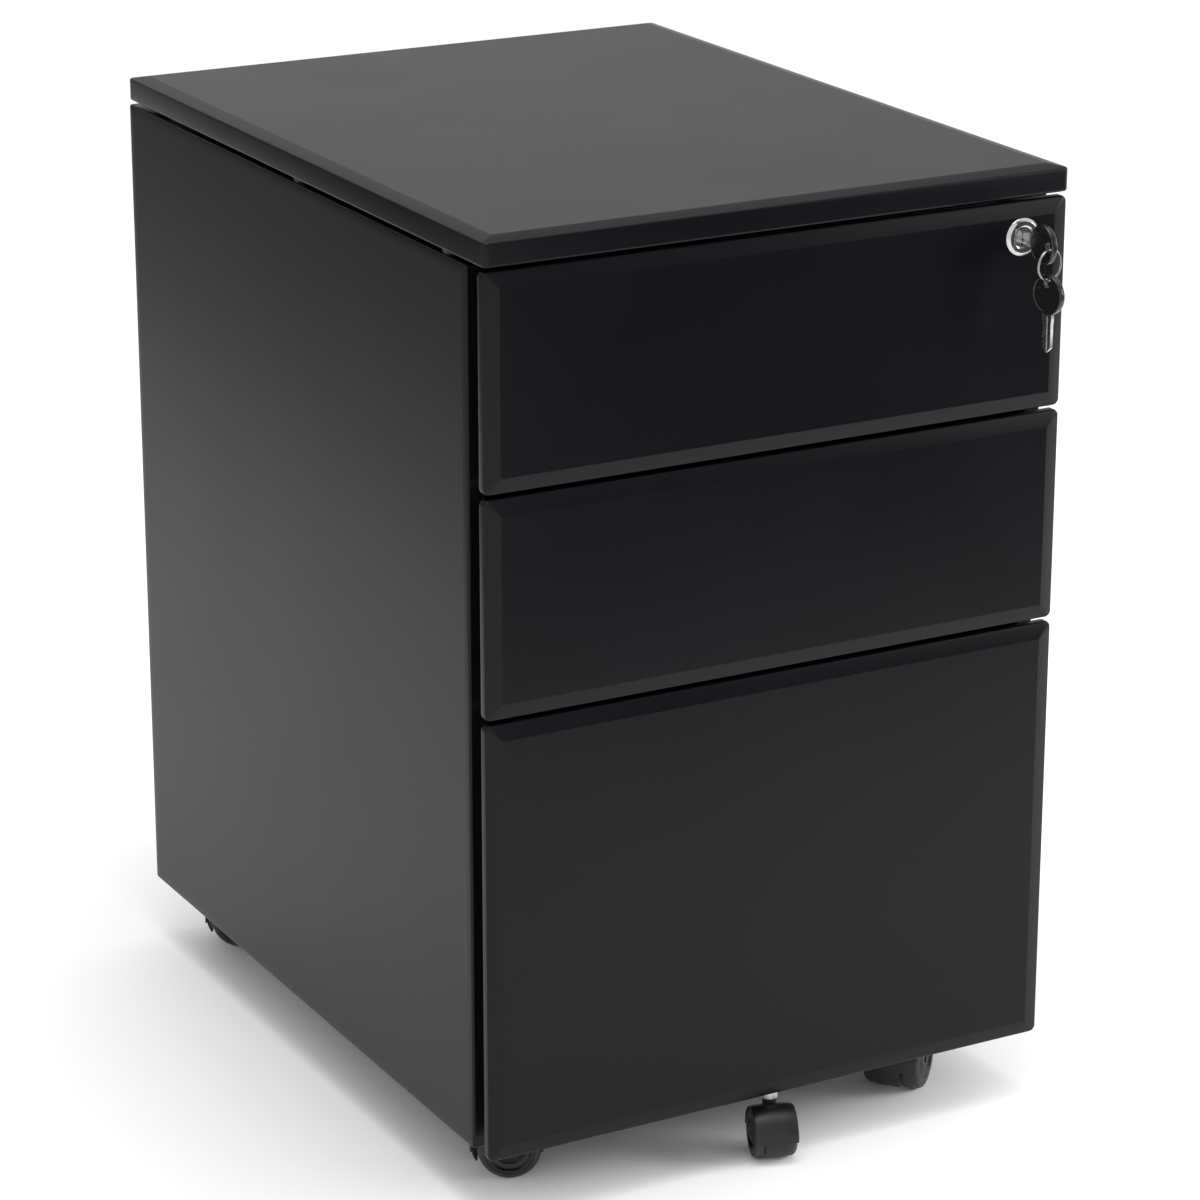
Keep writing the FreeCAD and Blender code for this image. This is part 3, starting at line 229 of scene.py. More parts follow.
def powder_coat():
    """Black satin powder coat: fine orange peel, faint clouding, and folds painted lighter, partly as wear and
    partly as a painted highlight.
    """
    finish = Finish("black_powder_coat", IOR=1.28)
    clouds = finish.noise(90 * MM)
    peel = finish.noise(1.6 * MM)
    grain = finish.noise(0.45 * MM, 3.0)
    body = finish.blend(finish.spread(clouds, 0, 1), (0.0014, 0.0014, 0.0025),
                        (0.0020, 0.0020, 0.0034))
    speckled = finish.blend(finish.spread(grain, 0, 0.6, 0.5, 0.75), body,
                            (0.0050, 0.0050, 0.0058))
    # lighter sharp folds: partly wear, partly a painted highlight standing in for the bright lines that light
    # makes on the folds
    finish.colour(finish.blend(finish.edges(0.54, 0.66), speckled, (0.010, 0.010, 0.011)))
    finish.roughness(finish.spread(clouds, 0.30, 0.32))
    finish.relief((peel, 0.010 * MM), (grain, 0.006 * MM))
    return finish.material


def zinc_steel():
    """Bright zinc plating over cold-rolled sheet, drawn along Y, faintly mottled."""
    finish = Finish("zinc_steel", Metallic=1.0)
    drawn = finish.noise(0.5 * MM, 3.0, (1, 0.03, 1))
    mottle = finish.noise(9 * MM, 4.0)
    finish.colour(finish.blend(finish.spread(mottle, 0, 1), (0.50, 0.51, 0.53),
                               (0.68, 0.68, 0.67)))
    finish.roughness(finish.spread(drawn, 0.24, 0.42))
    finish.relief((drawn, 0.006 * MM))
    return finish.material


def lock_chrome():
    """Polished chrome with faint turning lines and fingerprints."""
    finish = Finish("lock_chrome", Metallic=1.0)
    smear = finish.noise(5 * MM, 3.0)
    lines = finish.noise(0.25 * MM, 2.0, (1, 0.1, 1))
    finish.colour(finish.blend(finish.spread(smear, 0, 1), (0.50, 0.50, 0.52),
                               (0.62, 0.62, 0.63)))
    finish.roughness(finish.spread(smear, 0.10, 0.22))
    finish.relief((lines, 0.002 * MM))
    return finish.material


def nickel():
    """Nickel-plated brass, tumbled, with fine scratches and darker hollows."""
    finish = Finish("nickel", Metallic=1.0)
    smear = finish.noise(3 * MM, 4.0)
    scratches = finish.noise(0.3 * MM, 2.0, (1, 1, 0.05))
    worn = finish.blend(finish.spread(smear, 0, 1), (0.34, 0.33, 0.31), (0.50, 0.49, 0.47))
    hollows = finish.edges(0.50, 0.42)
    finish.colour(finish.blend(hollows, worn, (0.16, 0.15, 0.14)))
    finish.roughness(finish.spread(scratches, 0.18, 0.34))
    finish.relief((scratches, 0.005 * MM))
    return finish.material


def key_plastic():
    """Glossy black moulded plastic with handling scuffs, and a painted highlight on its edges."""
    finish = Finish("key_plastic", IOR=1.5)
    scuffs = finish.noise(1.2 * MM, 4.0)
    ripple = finish.noise(4 * MM)
    # the lighter sharp edges are a painted highlight on the grip's rounded rim
    finish.colour(finish.blend(finish.edges(), (0.008, 0.008, 0.009), (0.035, 0.035, 0.037)))
    finish.roughness(finish.spread(scuffs, 0.16, 0.34))
    finish.relief((ripple, 0.02 * MM), (scuffs, 0.004 * MM))
    return finish.material


def caster_plastic():
    """Black nylon, lightly spark-eroded, dusty in patches."""
    finish = Finish("caster_plastic", IOR=1.46)
    erosion = finish.noise(0.35 * MM, 3.0)
    dust = finish.noise(7 * MM, 4.0)
    body = finish.blend(finish.spread(dust, 0, 1), (0.0030, 0.0030, 0.0036),
                        (0.0055, 0.0055, 0.0062))
    finish.colour(finish.blend(finish.edges(), body, (0.014, 0.014, 0.015)))
    finish.roughness(finish.spread(erosion, 0.34, 0.50))
    finish.relief((erosion, 0.012 * MM))
    return finish.material


def caster_tread():
    """Dark blue-grey rolling surface, scuffed matt."""
    finish = Finish("caster_tread", IOR=1.47)
    scuffs = finish.noise(1.1 * MM, 5.0)
    dust = finish.noise(6 * MM, 3.0)
    finish.colour(finish.blend(finish.spread(dust, 0, 1), (0.014, 0.015, 0.020),
                               (0.024, 0.025, 0.032)))
    finish.roughness(finish.spread(scuffs, 0.42, 0.62))
    finish.relief((scuffs, 0.02 * MM))
    return finish.material


def guide_plastic():
    """Dark natural nylon of the spacers and the lock bar's guides."""
    finish = Finish("guide_plastic", IOR=1.5)
    flow = finish.noise(4 * MM, 3.0, (1, 1, 0.3))
    grain = finish.noise(0.5 * MM, 2.0)
    finish.colour(finish.blend(finish.spread(flow, 0, 1), (0.018, 0.018, 0.019),
                               (0.030, 0.030, 0.031)))
    finish.roughness(finish.spread(grain, 0.36, 0.5))
    finish.relief((grain, 0.01 * MM))
    return finish.material


FINISHES = {make.__name__: make() for make in (
    zinc_steel, lock_chrome, nickel, key_plastic, caster_plastic, caster_tread, guide_plastic)}
FINISHES["black_powder_coat"] = powder_coat()


# ---------------------------------------------------------------- mesh tools


def piece(name, bm, slot, body, *replaced):
    """Turn a bmesh into a shaded piece that rides on a body and may stand for CAD nodes."""
    bmesh.ops.remove_doubles(bm, verts=bm.verts, dist=0.002 * MM)
    bmesh.ops.recalc_face_normals(bm, faces=bm.faces)
    mesh = bpy.data.meshes.new(name)
    bm.to_mesh(mesh)
    bm.free()
    mesh.shade_smooth()
    mesh.set_sharp_from_angle(angle=SHARP)
    mesh.materials.append(FINISHES[slot])
    made = bpy.data.objects.new(name, mesh)
    bpy.context.scene.collection.objects.link(made)
    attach(made, body)
    if replaced:
        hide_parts(*replaced)
    return made


def soften(thing, width):
    """Round the edges of an object with a bevel that leaves its flat faces flat."""
    weld = thing.modifiers.new("weld", "WELD")
    weld.merge_threshold = 0.001 * MM
    bevel = thing.modifiers.new("edges", "BEVEL")
    bevel.width = width
    bevel.segments = 2
    bevel.limit_method = "ANGLE"
    bevel.angle_limit = SOFT_EDGE
    bevel.harden_normals = True


def round_off(points, radii):
    """An open outline with an arc in place of each inner corner, one radius per corner."""
    points = [Vector(point) for point in points]
    result = [points[0]]
    for before, corner, after, radius in zip(points, points[1:], points[2:], radii):
        coming = (corner - before).normalized()
        going = (after - corner).normalized()
        turn = math.atan2(coming.cross(going), coming.dot(going))
        side = math.copysign(1, turn)
        start = corner - coming * radius * math.tan(abs(turn) / 2)
        middle = start + Vector((-coming.y, coming.x)) * side * radius
        spoke = start - middle
        for step in range(ARC_STEPS + 1):
            angle = turn * step / ARC_STEPS
            result.append(middle + Matrix.Rotation(angle, 2) @ spoke)
    result.append(points[-1])
    return result


def offset(points, distance):
    """The outline moved sideways, to the left of its direction, by a distance."""
    moved = []
    for number, point in enumerate(points):
        normals = []
        for first, second in ((number - 1, number), (number, number + 1)):
            if 0 <= first and second < len(points):
                along = (points[second] - points[first]).normalized()
                normals.append(Vector((-along.y, along.x)))
        middle = sum(normals, Vector((0, 0))).normalized()
        moved.append(point + middle * distance / middle.dot(normals[0]))
    return moved


def ring_of(bm, points):
    """New vertices at the points, in their order."""
    return [bm.verts.new(point) for point in points]


def skin(bm, rings, closed=True):
    """Quads between each ring of vertices and the next. Closed rings join up on themselves."""
    for here, there in zip(rings, rings[1:]):
        count = len(here)
        for number in range(count if closed else count - 1):
            after = (number + 1) % count
            bm.faces.new((here[number], here[after], there[after], there[number]))


def rounded_rectangle(half_x, half_y, radius, height, place):
    """Points round a rectangle with rounded corners, at a height in the local frame."""
    steps = 6
    points = []
    for quarter, (side_x, side_y) in enumerate(((1, 1), (-1, 1), (-1, -1), (1, -1))):
        for step in range(steps + 1):
            angle = (quarter + step / steps) * math.pi / 2
            x = side_x * (half_x - radius) + radius * math.cos(angle)
            y = side_y * (half_y - radius) + radius * math.sin(angle)
            points.append(place @ Vector((x, y, height)))
    return points


def circle(radius, height, place, centre=(0, 0), steps=48):
    """Points round a circle, at a height in the local frame."""
    return [place @ Vector((centre[0] + radius * math.cos(2 * math.pi * step / steps),
                            centre[1] + radius * math.sin(2 * math.pi * step / steps), height))
            for step in range(steps)]


def flat_with_hole(bm, outline, hole):
    """A flat face between two rings of vertices."""
    edges = []
    for ring in (outline, hole):
        for here, there in zip(ring, ring[1:] + ring[:1]):
            edges.append(bm.edges.get((here, there)) or bm.edges.new((here, there)))
    bmesh.ops.triangle_fill(bm, edges=edges, use_beauty=True)


def pan(bm, half_x, half_y, corner, section, radii, place, hole=None):
    """A folded sheet. The section runs from its loose edge to its flat face: (inset, height)."""
    outer = round_off(section, radii)
    inner = offset(outer, -SHEET)
    rings = []
    for inset, height in inner[::-1] + outer:
        radius = max(corner - inset, TIGHT)
        rings.append(ring_of(bm, rounded_rectangle(
            half_x - inset, half_y - inset, radius, height, place)))
    skin(bm, rings)
    if hole is None:
        bm.faces.new(rings[0])
        bm.faces.new(rings[-1])
        return
    radius, centre = hole
    back, face = inner[-1][1], outer[-1][1]
    rims = [ring_of(bm, circle(radius + margin, back, place, centre))
            for margin in HOLE_MARGINS]
    rims += [ring_of(bm, circle(radius + margin, face, place, centre))
             for margin in reversed(HOLE_MARGINS)]
    skin(bm, rims)
    flat_with_hole(bm, rings[0], rims[0])
    flat_with_hole(bm, rings[-1], rims[-1])


def lathe(bm, profile, place, steps=72):
    """A closed profile of (radius, height) turned about the local Z axis."""
    rings = []
    for step in range(steps):
        angle = 2 * math.pi * step / steps
        rings.append(ring_of(bm, [
            place @ Vector((radius * math.cos(angle), radius * math.sin(angle), height))
            for radius, height in profile]))
    skin(bm, rings + rings[:1])


def prism(bm, outline, low, high, place):
    """An outline in the local XY plane raised from low to high, closed at both ends."""
    rings = [ring_of(bm, [place @ Vector((x, y, height)) for x, y in outline])
             for height in (low, high)]
    skin(bm, rings)
    for ring in rings:
        bm.faces.new(ring)


def block(bm, low, high):
    """A box between two corners."""
    outline = ((low[0], low[1]), (high[0], low[1]), (high[0], high[1]), (low[0], high[1]))
    prism(bm, outline, low[2], high[2], Matrix.Identity(4))


def middle_of(low, high):
    """Half-way between two numbers or two corners."""
    return (low + high) / 2


# Local frames for pans: the flat face looks along the direction named.
FACE_UP = Matrix.Identity(4)
FACE_DOWN = Matrix.Rotation(math.pi, 4, "X")
FACE_FORWARD = Matrix.Rotation(math.pi / 2, 4, "X")
FACE_LEFT = Matrix.Rotation(-math.pi / 2, 4, "Y") @ Matrix.Rotation(math.pi / 2, 4, "Z")
FACE_RIGHT = Matrix.Rotation(math.pi / 2, 4, "Y") @ Matrix.Rotation(math.pi / 2, 4, "Z")


# ---------------------------------------------------------------- folded sheet metal


def cap():
    """The folded cap: a flat field inside a low bevelled rim, turned in underneath."""
    low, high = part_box("cap_top")
    middle = middle_of(low, high)
    depth = high.z - low.z
    section = [(CAP_RETURN, 0), (0, 0), (0, depth - CAP_RISE), (CAP_RIM, depth),
               (CAP_RIM + FLAT_MARGIN, depth)]
    bm = bmesh.new()
    pan(bm, (high.x - low.x) / 2, (high.y - low.y) / 2, CAP_CORNER, section,
        (FOLD, CREASE, FACE_CREASE), Matrix.Translation((middle.x, middle.y, low.z)) @ FACE_UP)
    piece("cap_shell", bm, "black_powder_coat", "cabinet", "cap_top")


def drawer_front(drawer):
    """A drawer's folded front with its bevelled rim, and the lock's hole in the first."""
    low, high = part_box(f"drawer_{drawer}_front")
    middle = middle_of(low, high)
    depth = high.y - low.y
    section = [(FRONT_RETURN, 0), (0, 0), (0, depth - FRONT_RISE), (FRONT_RIM, depth),
               (FRONT_RIM + FLAT_MARGIN, depth)]
    place = Matrix.Translation((middle.x, high.y, middle.z)) @ FACE_FORWARD
    hole = None
    if drawer == 1:
        lock = JOINTS["lock_turn"]["pos_m"]
        hole = (LOCK_HOLE, (lock[0] - middle.x, lock[2] - middle.z))
    bm = bmesh.new()
    pan(bm, (high.x - low.x) / 2, (high.z - low.z) / 2, FRONT_CORNER, section,
        (FOLD, CREASE, FACE_CREASE), place, hole)
    piece(f"drawer_{drawer}_folded_front", bm, "black_powder_coat", f"drawer_{drawer}",
          f"drawer_{drawer}_front")


def side_panel(side, facing):
    """One side of the body, folded inwards all round."""
    node = f"{side}_side_panel"
    low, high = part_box(node)
    middle = middle_of(low, high)
    depth = high.x - low.x
    inner_x = low.x if side == "right" else high.x
    section = [(0, 0), (0, depth), (FLAT_INSET, depth)]
    bm = bmesh.new()
    pan(bm, (high.y - low.y) / 2, (high.z - low.z) / 2, PANEL_CORNER, section, (FOLD,),
        Matrix.Translation((inner_x, middle.y, middle.z)) @ facing)
    piece(f"{side}_folded_side", bm, "black_powder_coat", "cabinet", node)


def tray(drawer):
    """The drawer box: folded walls, hemmed tops on the box drawers, and the lock catch."""
    node = f"drawer_{drawer}_tray"
    low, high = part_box(node)
    middle_half = -low.x
    height = high.z - low.z
    section = [(0, 0), (0, height), (FLAT_INSET, height)]
    radii = (FOLD,)
    if drawer != 3:
        section = [(HEM_DEPTH, HEM), (HEM_DEPTH, 0), *section]
        radii = (FOLD / 2, FOLD / 2, *radii)
    place = Matrix.Translation((0, (low.y + high.y) / 2, high.z)) @ FACE_DOWN
    bm = bmesh.new()
    pan(bm, middle_half, (high.y - low.y) / 2, TRAY_CORNER, section, radii, place)
    near, far = CATCH_BEHIND
    under, over = CATCH_ABOVE
    block(bm, (middle_half - SHEET, low.y + near, low.z + under),
          (high.x, low.y + far, low.z + over))
    piece(f"drawer_{drawer}_folded_tray", bm, "black_powder_coat", f"drawer_{drawer}", node)


# ---------------------------------------------------------------- slides


def rolled_channel(bm, web, tip, lip, ends, middle_z, height, side):
    """A C section along Y with its flange tips rolled over by lip, for one side."""
    inwards = math.copysign(1, tip - web)
    half = height / 2
    outline = [(tip, half - lip), (tip, half), (web, half), (web, -half), (tip, -half),
               (tip, -half + lip)]
    outer = round_off(outline, (SLIDE_LIP_FOLD, SLIDE_FOLD, SLIDE_FOLD, SLIDE_LIP_FOLD))
    inner = offset(outer, SLIDE_METAL * inwards)
    rings = []
    for y in ends:
        rings.append(ring_of(bm, [Vector((side * x, y, middle_z + z))
                                  for x, z in outer + inner[::-1]]))
    skin(bm, rings)
    count = len(outer)
    for ring in rings:
        for number in range(count - 1):
            bm.faces.new((ring[number], ring[number + 1],
                          ring[2 * count - 2 - number], ring[2 * count - 1 - number]))


def slide_member(drawer, kind, body, lip, web_inside):
    """Both members of one kind in a drawer's pair of slides."""
    node = f"drawer_{drawer}_{kind}"
    low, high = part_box(node)
    web = high.x
    tip = high.x - MEMBER_DEPTH[kind]
    if web_inside:
        web, tip = tip, web
    bm = bmesh.new()
    for side in (-1, 1):
        rolled_channel(bm, web, tip, lip, (low.y, high.y), middle_of(low.z, high.z),
                       high.z - low.z, side)
    piece(f"{node}_rolled", bm, "zinc_steel", body, node)


def ball_cages(drawer):
    """Rows of balls in thin cages, held by the middle members."""
    low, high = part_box(f"drawer_{drawer}_middle_members")
    inner_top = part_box(f"drawer_{drawer}_drawer_members")[1].z
    middle_z = middle_of(low.z, high.z)
    x = high.x - MEMBER_DEPTH["middle_members"] + CAGE_FROM_TIP
    inner_row = (low.y + CAGE_END_GAP,
                 (inner_top - middle_z + high.z - middle_z - SLIDE_METAL) / 2)
    outer_row = (high.y - CAGE_END_GAP - BALLS * BALL_STEP,
                 high.z - middle_z + BALL + BALL_GAP)
    bm = bmesh.new()
    for start, reach in (inner_row, outer_row):
        for side in (-1, 1):
            for up in (-1, 1):
                z = middle_z + up * reach
                for number in range(BALLS):
                    spot = Matrix.Translation((side * x, start + (number + 0.5) * BALL_STEP, z))
                    bmesh.ops.create_icosphere(bm, subdivisions=2, radius=BALL, matrix=spot)
                near, far = sorted((side * (x - CAGE_HALF_METAL), side * (x + CAGE_HALF_METAL)))
                block(bm, (near, start, z - CAGE_HALF_WIDTH),
                      (far, start + BALLS * BALL_STEP, z + CAGE_HALF_WIDTH))
    piece(f"drawer_{drawer}_ball_cages", bm, "zinc_steel", f"drawer_{drawer}_runners")


def slides(drawer):
    """The pair of ball slides of a drawer: three members a side and the ball cages."""
    kinds = (("cabinet_members", "cabinet", 2.0 * MM, False),
             ("middle_members", f"drawer_{drawer}_runners", 1.5 * MM, False),
             ("drawer_members", f"drawer_{drawer}", 1.6 * MM, True))
    for kind, body, lip, web_inside in kinds:
        slide_member(drawer, kind, body, lip, web_inside)
    ball_cages(drawer)


# ---------------------------------------------------------------- lock and keys


def lock_bezel():
    """Barrel and rounded bezel in one turning."""
    low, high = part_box("lock_housing")
    joint = JOINTS["lock_turn"]["pos_m"]
    length = high.y - joint[1]
    rim = (high.x - low.x) / 2
    proud = joint[1] - low.y
    rim_edge = 1.3 * MM
    slope = 2.0 * MM
    mouth_width = 1.1 * MM
    mouth_depth = 0.7 * MM
    outer = round_off([(LOCK_BARREL, 0), (rim, 0), (rim, rim_edge), (rim - slope, proud),
                       (LOCK_BORE + mouth_width, proud), (LOCK_BORE, proud - mouth_depth),
                       (LOCK_BORE, -length)],
                      (0.15 * MM, 0.9 * MM, 1.0 * MM, 0.35 * MM, 0.2 * MM))
    profile = [(LOCK_BARREL, -length), *[(p.x, p.y) for p in outer]]
    bm = bmesh.new()
    lathe(bm, profile, Matrix.Translation(joint) @ FACE_FORWARD)
    piece("lock_bezel", bm, "lock_chrome", "drawer_1", "lock_housing")


def arc(centre, radius, start, end, steps):
    """Points of an arc between two angles in degrees."""
    points = []
    for step in range(steps + 1):
        angle = math.radians(start + (end - start) * step / steps)
        points.append((centre[0] + radius * math.cos(angle),
                       centre[1] + radius * math.sin(angle)))
    return points


def grip(bm, place):
    """A key's plastic grip about its ring hole, its blade side towards local +X."""
    centre = (BOW_RADIUS - BOW_HOLE_INSET, 0)
    half = BOW_THICKNESS / 2
    rim = 1.5 * MM
    sunk = 0.45 * MM
    tight = 0.3 * MM
    round_edge = 1.0 * MM
    chamfer = 0.5 * MM
    section = [(BOW_RADIUS - rim, half - sunk), (BOW_RADIUS - rim + sunk, half),
               (BOW_RADIUS, half), (BOW_RADIUS, -half), (BOW_RADIUS - rim + sunk, -half),
               (BOW_RADIUS - rim, -half + sunk)]
    outline = round_off(section, (tight, round_edge, round_edge, tight))
    rings = [ring_of(bm, circle(p.x, p.y, place, centre, 64)) for p in outline]
    skin(bm, rings)
    hole_section = [(BOW_HOLE + chamfer, half - sunk), (BOW_HOLE, half - sunk - chamfer),
                    (BOW_HOLE, -half + sunk + chamfer), (BOW_HOLE + chamfer, -half + sunk)]
    holes = [ring_of(bm, circle(radius, height, place, (0, 0), 36))
             for radius, height in hole_section]
    skin(bm, holes)
    flat_with_hole(bm, rings[0], holes[0])
    flat_with_hole(bm, rings[-1], holes[-1])


def blade(bm, place):
    """A key's metal blade: shoulder, cuts along one edge, pointed tip and a milled groove."""
    root = 2 * BOW_RADIUS - BOW_HOLE_INSET
    start = root - BLADE_SET_IN
    end = root + BLADE_LENGTH
    half = BLADE_WIDTH / 2
    edge = half - 0.3 * MM
    shoulder = start + 5.0 * MM
    neck = start + 5.6 * MM
    first = start + 7.0 * MM
    outline = [(start, -half), (shoulder, -half), (neck, -edge)]
    outline += [(end - 3.2 * MM, -edge), (end, -0.6 * MM), (end, 0.4 * MM),
                (end - 2.4 * MM, edge - 0.8 * MM)]
    for number, depth in reversed(list(enumerate(BIT_DEPTHS))):
        x = first + number * BIT_STEP
        outline += [(x + BIT_MOUTH, edge), (x + BIT_FLOOR[1], edge - depth),
                    (x + BIT_FLOOR[0], edge - depth), (x, edge)]
    outline += [(neck, edge), (shoulder, half), (start, half)]
    thickness = BLADE_THICKNESS / 2
    prism(bm, outline, -thickness, thickness, place)


def milled(thing, place):
    """Cut the long groove on both faces of a blade, then remove the cutter."""
    root = 2 * BOW_RADIUS - BOW_HOLE_INSET
    start = root + 1.0 * MM
    end = root + BLADE_LENGTH + 2.0 * MM
    outline = ((start, GROOVE[0]), (end, GROOVE[0]), (end, GROOVE[1]), (start, GROOVE[1]))
    bm = bmesh.new()
    for side in (-1, 1):
        near, far = sorted((side * GROOVE_FLOOR, side * BLADE_THICKNESS))
        prism(bm, outline, near, far, place)
    bmesh.ops.recalc_face_normals(bm, faces=bm.faces)
    mesh = bpy.data.meshes.new("groove_cutter")
    bm.to_mesh(mesh)
    bm.free()
    cutter = bpy.data.objects.new("groove_cutter", mesh)
    bpy.context.scene.collection.objects.link(cutter)
    cut = thing.modifiers.new("groove", "BOOLEAN")
    cut.operation = "DIFFERENCE"
    cut.solver = "EXACT"
    cut.object = cutter
    bpy.context.view_layer.update()
    seen = thing.evaluated_get(bpy.context.evaluated_depsgraph_get())
    result = bpy.data.meshes.new_from_object(seen)
    thing.modifiers.remove(cut)
    thing.data = result
    bpy.data.objects.remove(cutter)


def key(prefix, body, place):
    """One key: its plastic grip and its metal blade."""
    bm = bmesh.new()
    grip(bm, place)
    piece(f"{prefix}key_grip", bm, "key_plastic", body, f"{prefix}key_bow")
    bm = bmesh.new()
    blade(bm, place)
    made = piece(f"{prefix}key_cut_blade", bm, "nickel", body, f"{prefix}key_blade")
    milled(made, place)
    soften(made, 0.12 * MM)


# The keys are drawn flat in a local XY plane, the blade along +X.
KEY_STANDING = Matrix.Rotation(math.pi / 2, 4, "Z") @ Matrix.Rotation(math.pi / 2, 4, "X")


def keys():
    """The key in the lock, the split ring and the spare key that hangs from it."""
    low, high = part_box("key_bow")
    hole = Vector((middle_of(low.x, high.x), low.y + BOW_HOLE_INSET,
                   middle_of(low.z, high.z)))
    key("", "key", Matrix.Translation(hole) @ KEY_STANDING)
    ring = JOINTS["ring_swing"]["pos_m"]
    spare = JOINTS["spare_key_swing"]
    turn = Matrix.Rotation(math.atan2(spare["axis"][1], spare["axis"][0]), 4, "Z")
    spare_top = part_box("spare_key_bow")[1].z
    spare_hole = Vector((hole.x, hole.y, spare_top - BOW_HOLE_INSET))
    hanging = turn @ Matrix.Rotation(-math.pi / 2, 4, "X") @ KEY_STANDING
    key("spare_", "spare_key", Matrix.Translation(spare_hole) @ hanging)
    split_ring(Matrix.Translation((ring[0], ring[1], ring[2] - RING_RADIUS)) @ turn)


def split_ring(place):
    """Two close turns of sprung wire that part where their ends lie."""
    turns = 2
    steps = 120
    start = math.radians(40)
    crossing = (0.42, 0.16)    # share of the wire where it steps over, and its length
    curve = bpy.data.curves.new("split_ring", "CURVE")
    curve.dimensions = "3D"
    curve.bevel_depth = RING_WIRE
    curve.bevel_resolution = 3
    curve.use_fill_caps = True
    spline = curve.splines.new("POLY")
    spline.points.add(steps)
    for step, point in enumerate(spline.points):
        share = step / steps
        angle = 2 * math.pi * turns * share + start
        stepped = min(max((share - crossing[0]) / crossing[1], 0), 1)
        side = RING_TURNS_APART * (stepped - 0.5)
        spot = place @ Vector((RING_RADIUS * math.cos(angle), side,
                               RING_RADIUS * math.sin(angle)))
        point.co = (*spot, 1)
    curve.materials.append(FINISHES["nickel"])
    made = bpy.data.objects.new("split_ring", curve)
    bpy.context.scene.collection.objects.link(made)
    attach(made, "key_ring")
    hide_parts("key_ring")


# ---------------------------------------------------------------- casters


def caster_frame(name):
    """Where a caster stands: its local frame, trail and wheel radius, from its joints."""
    swivel = Vector(JOINTS[f"{name}_swivel"]["pos_m"])
    axle = Vector(JOINTS[f"{name}_wheel_a_roll"]["pos_m"])
    reach = axle - swivel
    heading = Matrix.Rotation(math.atan2(reach.y, reach.x), 4, "Z")
    place = Matrix.Translation((swivel.x, swivel.y, 0)) @ heading
    return place, reach.xy.length, axle.z


def hood_band(bm, place, centre, radii, width, span, crown):
    """A curved cover over the wheels, rounded towards its sides, swept over an arc."""
    inner, outer = radii
    half = width / 2
    across = 10
    steps = 44
    inner_crown = 0.6 * crown
    inner_width = 0.98
    sides = [half * math.sin(math.pi / 2 * (2 * k / across - 1)) for k in range(across + 1)]
    rings = []
    for step in range(steps + 1):
        angle = math.radians(span[0] + (span[1] - span[0]) * step / steps)
        direction = Vector((math.cos(angle), 0, math.sin(angle)))
        loop = []
        for y in sides:
            drop = crown * (abs(y) / half) ** 4
            loop.append(centre + direction * (outer - drop) + Vector((0, y, 0)))
        for y in reversed(sides):
            drop = inner_crown * (abs(y) / half) ** 4
            loop.append(centre + direction * (inner - drop) + Vector((0, inner_width * y, 0)))
        rings.append(ring_of(bm, [place @ spot for spot in loop]))
    skin(bm, rings)
    bm.faces.new(rings[0])
    bm.faces.new(rings[-1])


def hood(name, kind):
    """Cover, tongue, spine and swivel boss of one caster."""
    sizes = CASTERS[kind]
    place, trail, radius = caster_frame(name)
    width = sizes["spine"] + 2 * (WHEEL_GAP + sizes["wheel_width"])
    inner = sizes["inner"]
    outer = inner + HOOD_WALL
    centre = Vector((trail + sizes["shift"], 0, radius))
    bm = bmesh.new()
    hood_band(bm, place, centre, (inner, outer), width, HOOD_SPAN, 1.0 * MM)
    low = math.degrees(math.asin((radius - sizes["tongue_low"]) / outer))
    under = outer - 0.05 * MM
    hood_band(bm, place, centre, (inner, under), sizes["tongue"], (-low, TONGUE_TOP),
              0.4 * MM)
    spine = sizes["spine"] / 2
    lying = place @ Matrix.Translation((0, 0, radius)) @ Matrix.Rotation(math.pi / 2, 4, "X")
    web = arc((centre.x, 0), inner + HOOD_WALL / 2, 0, 180, 30)
    web += arc((trail, 0), sizes["hub"], 180, 360, 16)
    prism(bm, web, -spine, spine, lying)
    top = outer + BOSS_RISE
    foot = 0.3 * radius
    chamfer = 0.5 * MM
    boss = [(AXIS, foot), (spine, foot), (spine, top - chamfer), (spine - chamfer, top),
            (AXIS, top)]
    lathe(bm, boss, place @ Matrix.Translation((0, 0, radius)), 36)
    reach = width / 2 - AXLE_END_GAP
    lathe(bm, [(AXIS, -reach), (AXLE, -reach), (AXLE, reach), (AXIS, reach)],
          lying @ Matrix.Translation((trail, 0, 0)), 24)
    made = piece(f"{name}_hood_shell", bm, "caster_plastic", f"{name}_caster", f"{name}_hood")
    bevel = made.modifiers.new("edges", "BEVEL")
    bevel.width = 0.35 * MM
    bevel.segments = 2
    bevel.limit_method = "ANGLE"
    bevel.angle_limit = math.radians(50)
    bevel.harden_normals = True


